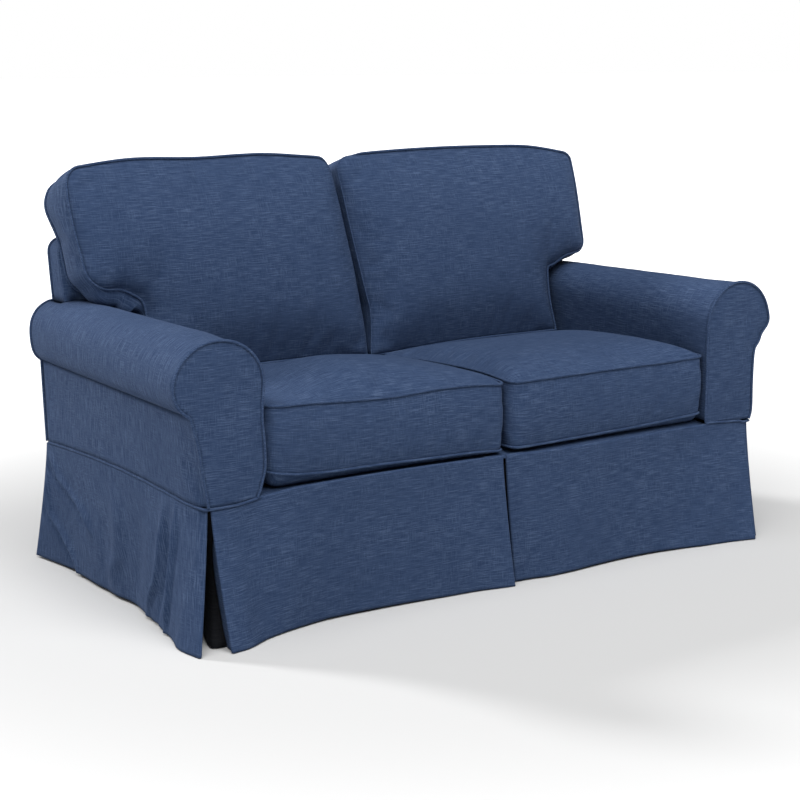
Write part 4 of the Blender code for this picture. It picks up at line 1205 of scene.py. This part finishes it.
backCushion = {
    "inner": 0.012, "leg": 0.569, "outer": 0.697, "foot": 0.4365, "ear": 0.6230, "head": 0.882,
    "radii": {-1: (0.038, 0.030, 0.048), 1: (0.026, 0.018, 0.030)},
    "innerEdge": {
        -1: ((0.43, -0.006), (0.48, -0.008), (0.56, -0.005), (0.64, -0.001), (0.70, 0.005), (0.80, 0.015),
             (0.85, 0.022)),
        1: ((0.43, -0.006), (0.48, 0.004), (0.53, 0.009), (0.57, 0.004), (0.62, -0.002), (0.70, -0.011),
            (0.85, -0.025)),
    },
    "outerEdge": {
        -1: ((0.62, 0.016), (0.65, 0.011), (0.70, 0.005), (0.75, -0.002), (0.82, -0.007), (0.87, -0.004)),
        1: ((0.62, 0.0), (0.70, -0.002), (0.78, -0.003), (0.84, 0.0), (0.87, 0.003)),
    },
    "topEdge": {
        -1: ((0.0, 0.0), (0.10, 0.006), (0.30, 0.015), (0.55, 0.012), (0.78, 0.015), (1.0, 0.000)),
        1: ((0.0, 0.0), (0.10, 0.008), (0.36, 0.014), (0.66, 0.013), (0.82, 0.008), (1.0, -0.012)),
    },
    "footEdge": {
        -1: ((0.0, -0.009), (0.049, -0.006), (0.125, -0.001), (0.25, 0.0)),
        1: ((0.0, -0.013), (0.061, -0.0105), (0.128, -0.006), (0.236, -0.001), (0.349, 0.001), (0.5, 0.0)),
    },
    "earDrop": {-1: (0.003, 0.037, 4.5), 1: (0.0, 0.042, 1.9)},
    "legEdge": {-1: ((0.43, 0.0), (0.52, -0.004), (0.572, -0.012), (0.60, -0.006), (0.62, -0.002)),
                1: ((0.431, -0.002), (0.454, -0.004), (0.484, -0.007), (0.516, -0.008), (0.552, -0.006), (0.60, 0.0))},
    "underEar": {-1: (0.057, 0.053), 1: (0.016, 0.016)},
    "front": (0.525, 0.265),
    "thickness": ((0.4365, 0.098), (0.60, 0.098), (0.72, 0.098), (0.80, 0.112), (0.882, 0.104)),
    "rearFall": ((0.60, 0.030), (0.66, 0.020), (0.72, -0.004), (0.80, 0.006), (0.882, 0.034)),
    "rearPinch": ((0.60, 0.008), (0.66, 0.000), (0.72, -0.002), (0.80, -0.006), (0.882, 0.012)),
    "frontCrown": ((0.4365, 0.020), (0.52, 0.038), (0.72, 0.040), (0.84, 0.030), (0.882, 0.026)),
    "rearCrown": ((0.4365, 0.0), (0.76, 0.0), (0.82, 0.010), (0.882, 0.008)),
    "cell": 0.0105,
}


def makeBackCushion(side):
    size = backCushion
    inner, leg, outer = size["inner"], size["leg"], size["outer"]
    foot, ear, head = size["foot"], size["ear"], size["head"]
    innerRadius, outerRadius, earRadius = size["radii"][side]
    columns = finer([inner, inner + innerRadius, leg, outer - earRadius, outer - outerRadius, outer], size["cell"])
    rows = finer([foot, ear, ear + earRadius, head - innerRadius, head - outerRadius, head], size["cell"])
    earRow = min(range(len(rows)), key=lambda k: abs(rows[k] - ear))
    corners = ((outer, head, outerRadius, 1, 1), (inner, head, innerRadius, -1, 1), (outer, ear, earRadius, 1, -1))
    frontDepth, frontLean = size["front"]

    def shape(i, j, point):
        start = point
        point = cornerRound(point, corners)
        if j >= earRow and start.x > leg - 1e-6 and start.y < ear + 0.05:
            raised, dropped, power = size["earDrop"][side]
            cornerShare = clamp(1 - (point.x - leg) / 0.10)
            fade = clamp(1 - (start.y - ear) / 0.05) ** 2
            point = point + Vector((0.004 * cornerShare ** 4, raised - dropped * cornerShare ** power)) * fade
        elif j < earRow:
            point = point + Vector((curved(size["legEdge"][side], start.y) * ease((start.x - 0.45) / 0.10), 0.0))
        across = clamp((point.x - inner) / (outer - inner))
        nearMiddle = max(0.0, 1 - (point.x - inner) / 0.2)
        nearEnd = max(0.0, (point.x - 0.5) / (outer - 0.5)) if start.y > ear - 0.001 else 0.0
        topShare = max(0.0, (point.y - 0.75) / (head - 0.75))
        point = Vector((point.x, point.y + curved(size["topEdge"][side], across) * topShare))
        point.y += curved(size["footEdge"][side], point.x) * clamp(1 - (point.y - foot) / 0.08)
        point.x += nearMiddle * curved(size["innerEdge"][side], point.y)
        point.x -= nearEnd * curved(size["outerEdge"][side], point.y)
        return point

    def plane(place):
        return frontDepth + frontLean * (place.y - 0.43)

    def frontFace(place, distance):
        return spot(side * place.x, plane(place) - swell(distance, 0.17, curved(size["frontCrown"], place.y)),
                    place.y)

    def rearFace(place, distance):
        depth = plane(place) + curved(size["thickness"], place.y)
        depth += swell(distance, 0.12, max(0.0, curved(size["rearCrown"], place.y)))
        outerShare = max(0.0, (place.x - 0.45) / (outer - 0.45))
        fall = curved(size["rearFall"], place.y) * mix(1.0, outerShare, ease((0.72 - place.y) / 0.03))
        return spot(side * (place.x - curved(size["rearPinch"], place.y) * outerShare), depth, place.y - fall)

    def bulge(place):  # fuller, creased and set forward under the ear
        under = ease((place.x - leg + (0.014 if side < 0 else 0.002)) / 0.018)
        if side < 0 and place.x > 0.3:  # only this ear's boxing reaches down the leg
            under = max(under, ease((place.y - 0.566) / 0.03) * ease((leg + 0.02 - place.x) / 0.02))
        under *= ease((ear + 0.35 * earRadius - place.y) / 0.02)
        near, full = size["underEar"][side]
        low = mix(near, full, ease((place.x - 0.585) / 0.04))
        creased = soft((place.x, 0.0, 0.0), 0.013, 21.0) * under
        amount = mix(mix(0.002, 0.006, ease((place.x - 0.05) / 0.03)), low, under)
        ahead = 0.012 * under if side < 0 else 0.0
        return amount + 0.006 * creased, mix(0.8, 0.50, under), ahead

    def looseness(place, passed, boxing):
        if not boxing:
            return 0.0 if passed > 0.5 else 1.0
        if place.x < 0.08 or place.y < foot + 0.02:
            return 0.06
        return 0.15 if place.x < leg + 0.03 and place.y < ear else 0.35

    makeCushion("backCushion" + words[side], {
        "columns": columns, "rows": rows, "inside": lambda p: p.x < leg or p.y > ear, "shape": shape,
        "near": frontFace, "far": rearFace, "bulge": bulge, "thin": lambda place: ease((place.x - 0.03) / 0.03),
        "relax": (((leg, ear - 0.02), 0.060, 9),), "looseness": looseness, "boxing": 11, "cap": 0.010, "fill": 0.7})


for side in words:
    makeSeatCushion(side)
    makeBackCushion(side)
    print("cushions made:", words[side])


# each sheet's cut facts, gathered with the pieces sewn to it and not kept

for piece, facts in sheets:
    told = dict(facts)
    told["with_pieces"] = [pieces[name] for name in told.get("with_pieces", ())]


# room, light and camera

# the floor is painted grey near the sofa and fades to white by 3 m: painted shade round the sofa, with a painted fade
# to white far off
room = {
    "floor": (0.50, 0.50, 0.50, 1.0), "far": (1.0, 1.0, 1.0, 1.0), "reach": (1.0, 3.0), "size": 60.0,
    "sky": (1.0, 1.0, 1.0, 1.0), "fill": 0.20,
    "eye": (-2.2073, -3.1970, 1.1344), "tilt": -11.4701, "turn": -34.243, "lens": 77.705, "sensor": 36.0,
}
lights = {  # place, strength and spread in degrees; each shines evenly over the whole floor
    "overhead": ((-0.3, -0.35, 1.3), 2.9, 60.0),
    "leftRear": ((-1.35, 2.6, 1.75), 2.3, 10.0),
    "leftFront": ((-2.4, -2.1, 2.2), 0.40, 30.0),
    "rightFront": ((0.7, -2.0, 2.5), 1.25, 35.0),
}


def makeFloor():
    bm = bmesh.new()
    bmesh.ops.create_grid(bm, x_segments=1, y_segments=1, size=room["size"])
    floor = linked("floor", meshOf("floor", bm))
    paint, tree, shader = newMaterial("floorPaintedShade")
    place = node(tree, "ShaderNodeTexCoord", {})
    # the darker floor colour close to the sofa is painted shade
    away = node(tree, "ShaderNodeVectorMath", {0: place.outputs["Object"]}, operation="LENGTH")
    near, far = room["reach"]
    spread = node(tree, "ShaderNodeMapRange", {"Value": away.outputs["Value"], "From Min": near, "From Max": far},
                  interpolation_type="SMOOTHSTEP")
    blend = node(tree, "ShaderNodeMix", {0: spread.outputs["Result"], 6: room["floor"], 7: room["far"]},
                 data_type="RGBA")
    feed(tree, shader, {"Base Color": blend.outputs[2], "Roughness": 0.9, "Specular IOR Level": 0.1})
    floor.data.materials.append(paint)


def makeWorld():
    world = bpy.data.worlds.new("studio")
    world.use_nodes = True
    tree, fill = world.node_tree, room["fill"]
    seen = node(tree, "ShaderNodeLightPath", {})  # the backdrop looks white but lights the room gently
    strength = node(tree, "ShaderNodeMath", {0: seen.outputs["Is Camera Ray"], 1: 1.0 - fill, 2: fill},
                    operation="MULTIPLY_ADD")
    feed(tree, tree.nodes["Background"], {"Color": room["sky"], "Strength": strength.outputs[0]})
    bpy.context.scene.world = world
    bpy.context.scene.view_settings.view_transform = "Standard"


def addLight(name, place, strength, spread):
    lamp = assign(bpy.data.lights.new(name, "SUN"), energy=strength, angle=math.radians(spread))
    assign(linked(name, lamp), location=place, rotation_mode="QUATERNION",
           rotation_quaternion=(-Vector(place)).to_track_quat("-Z", "Y"))


def addCamera():
    lens = assign(bpy.data.cameras.new("camera"), sensor_width=room["sensor"], lens=room["lens"])
    bpy.context.scene.camera = assign(
        linked("camera", lens), location=room["eye"],
        rotation_euler=(math.radians(90 + room["tilt"]), 0.0, math.radians(room["turn"])))


makeFloor()
makeWorld()
for name, (place, strength, spread) in lights.items():
    addLight(name, place, strength, spread)
addCamera()
print("room and camera ready")
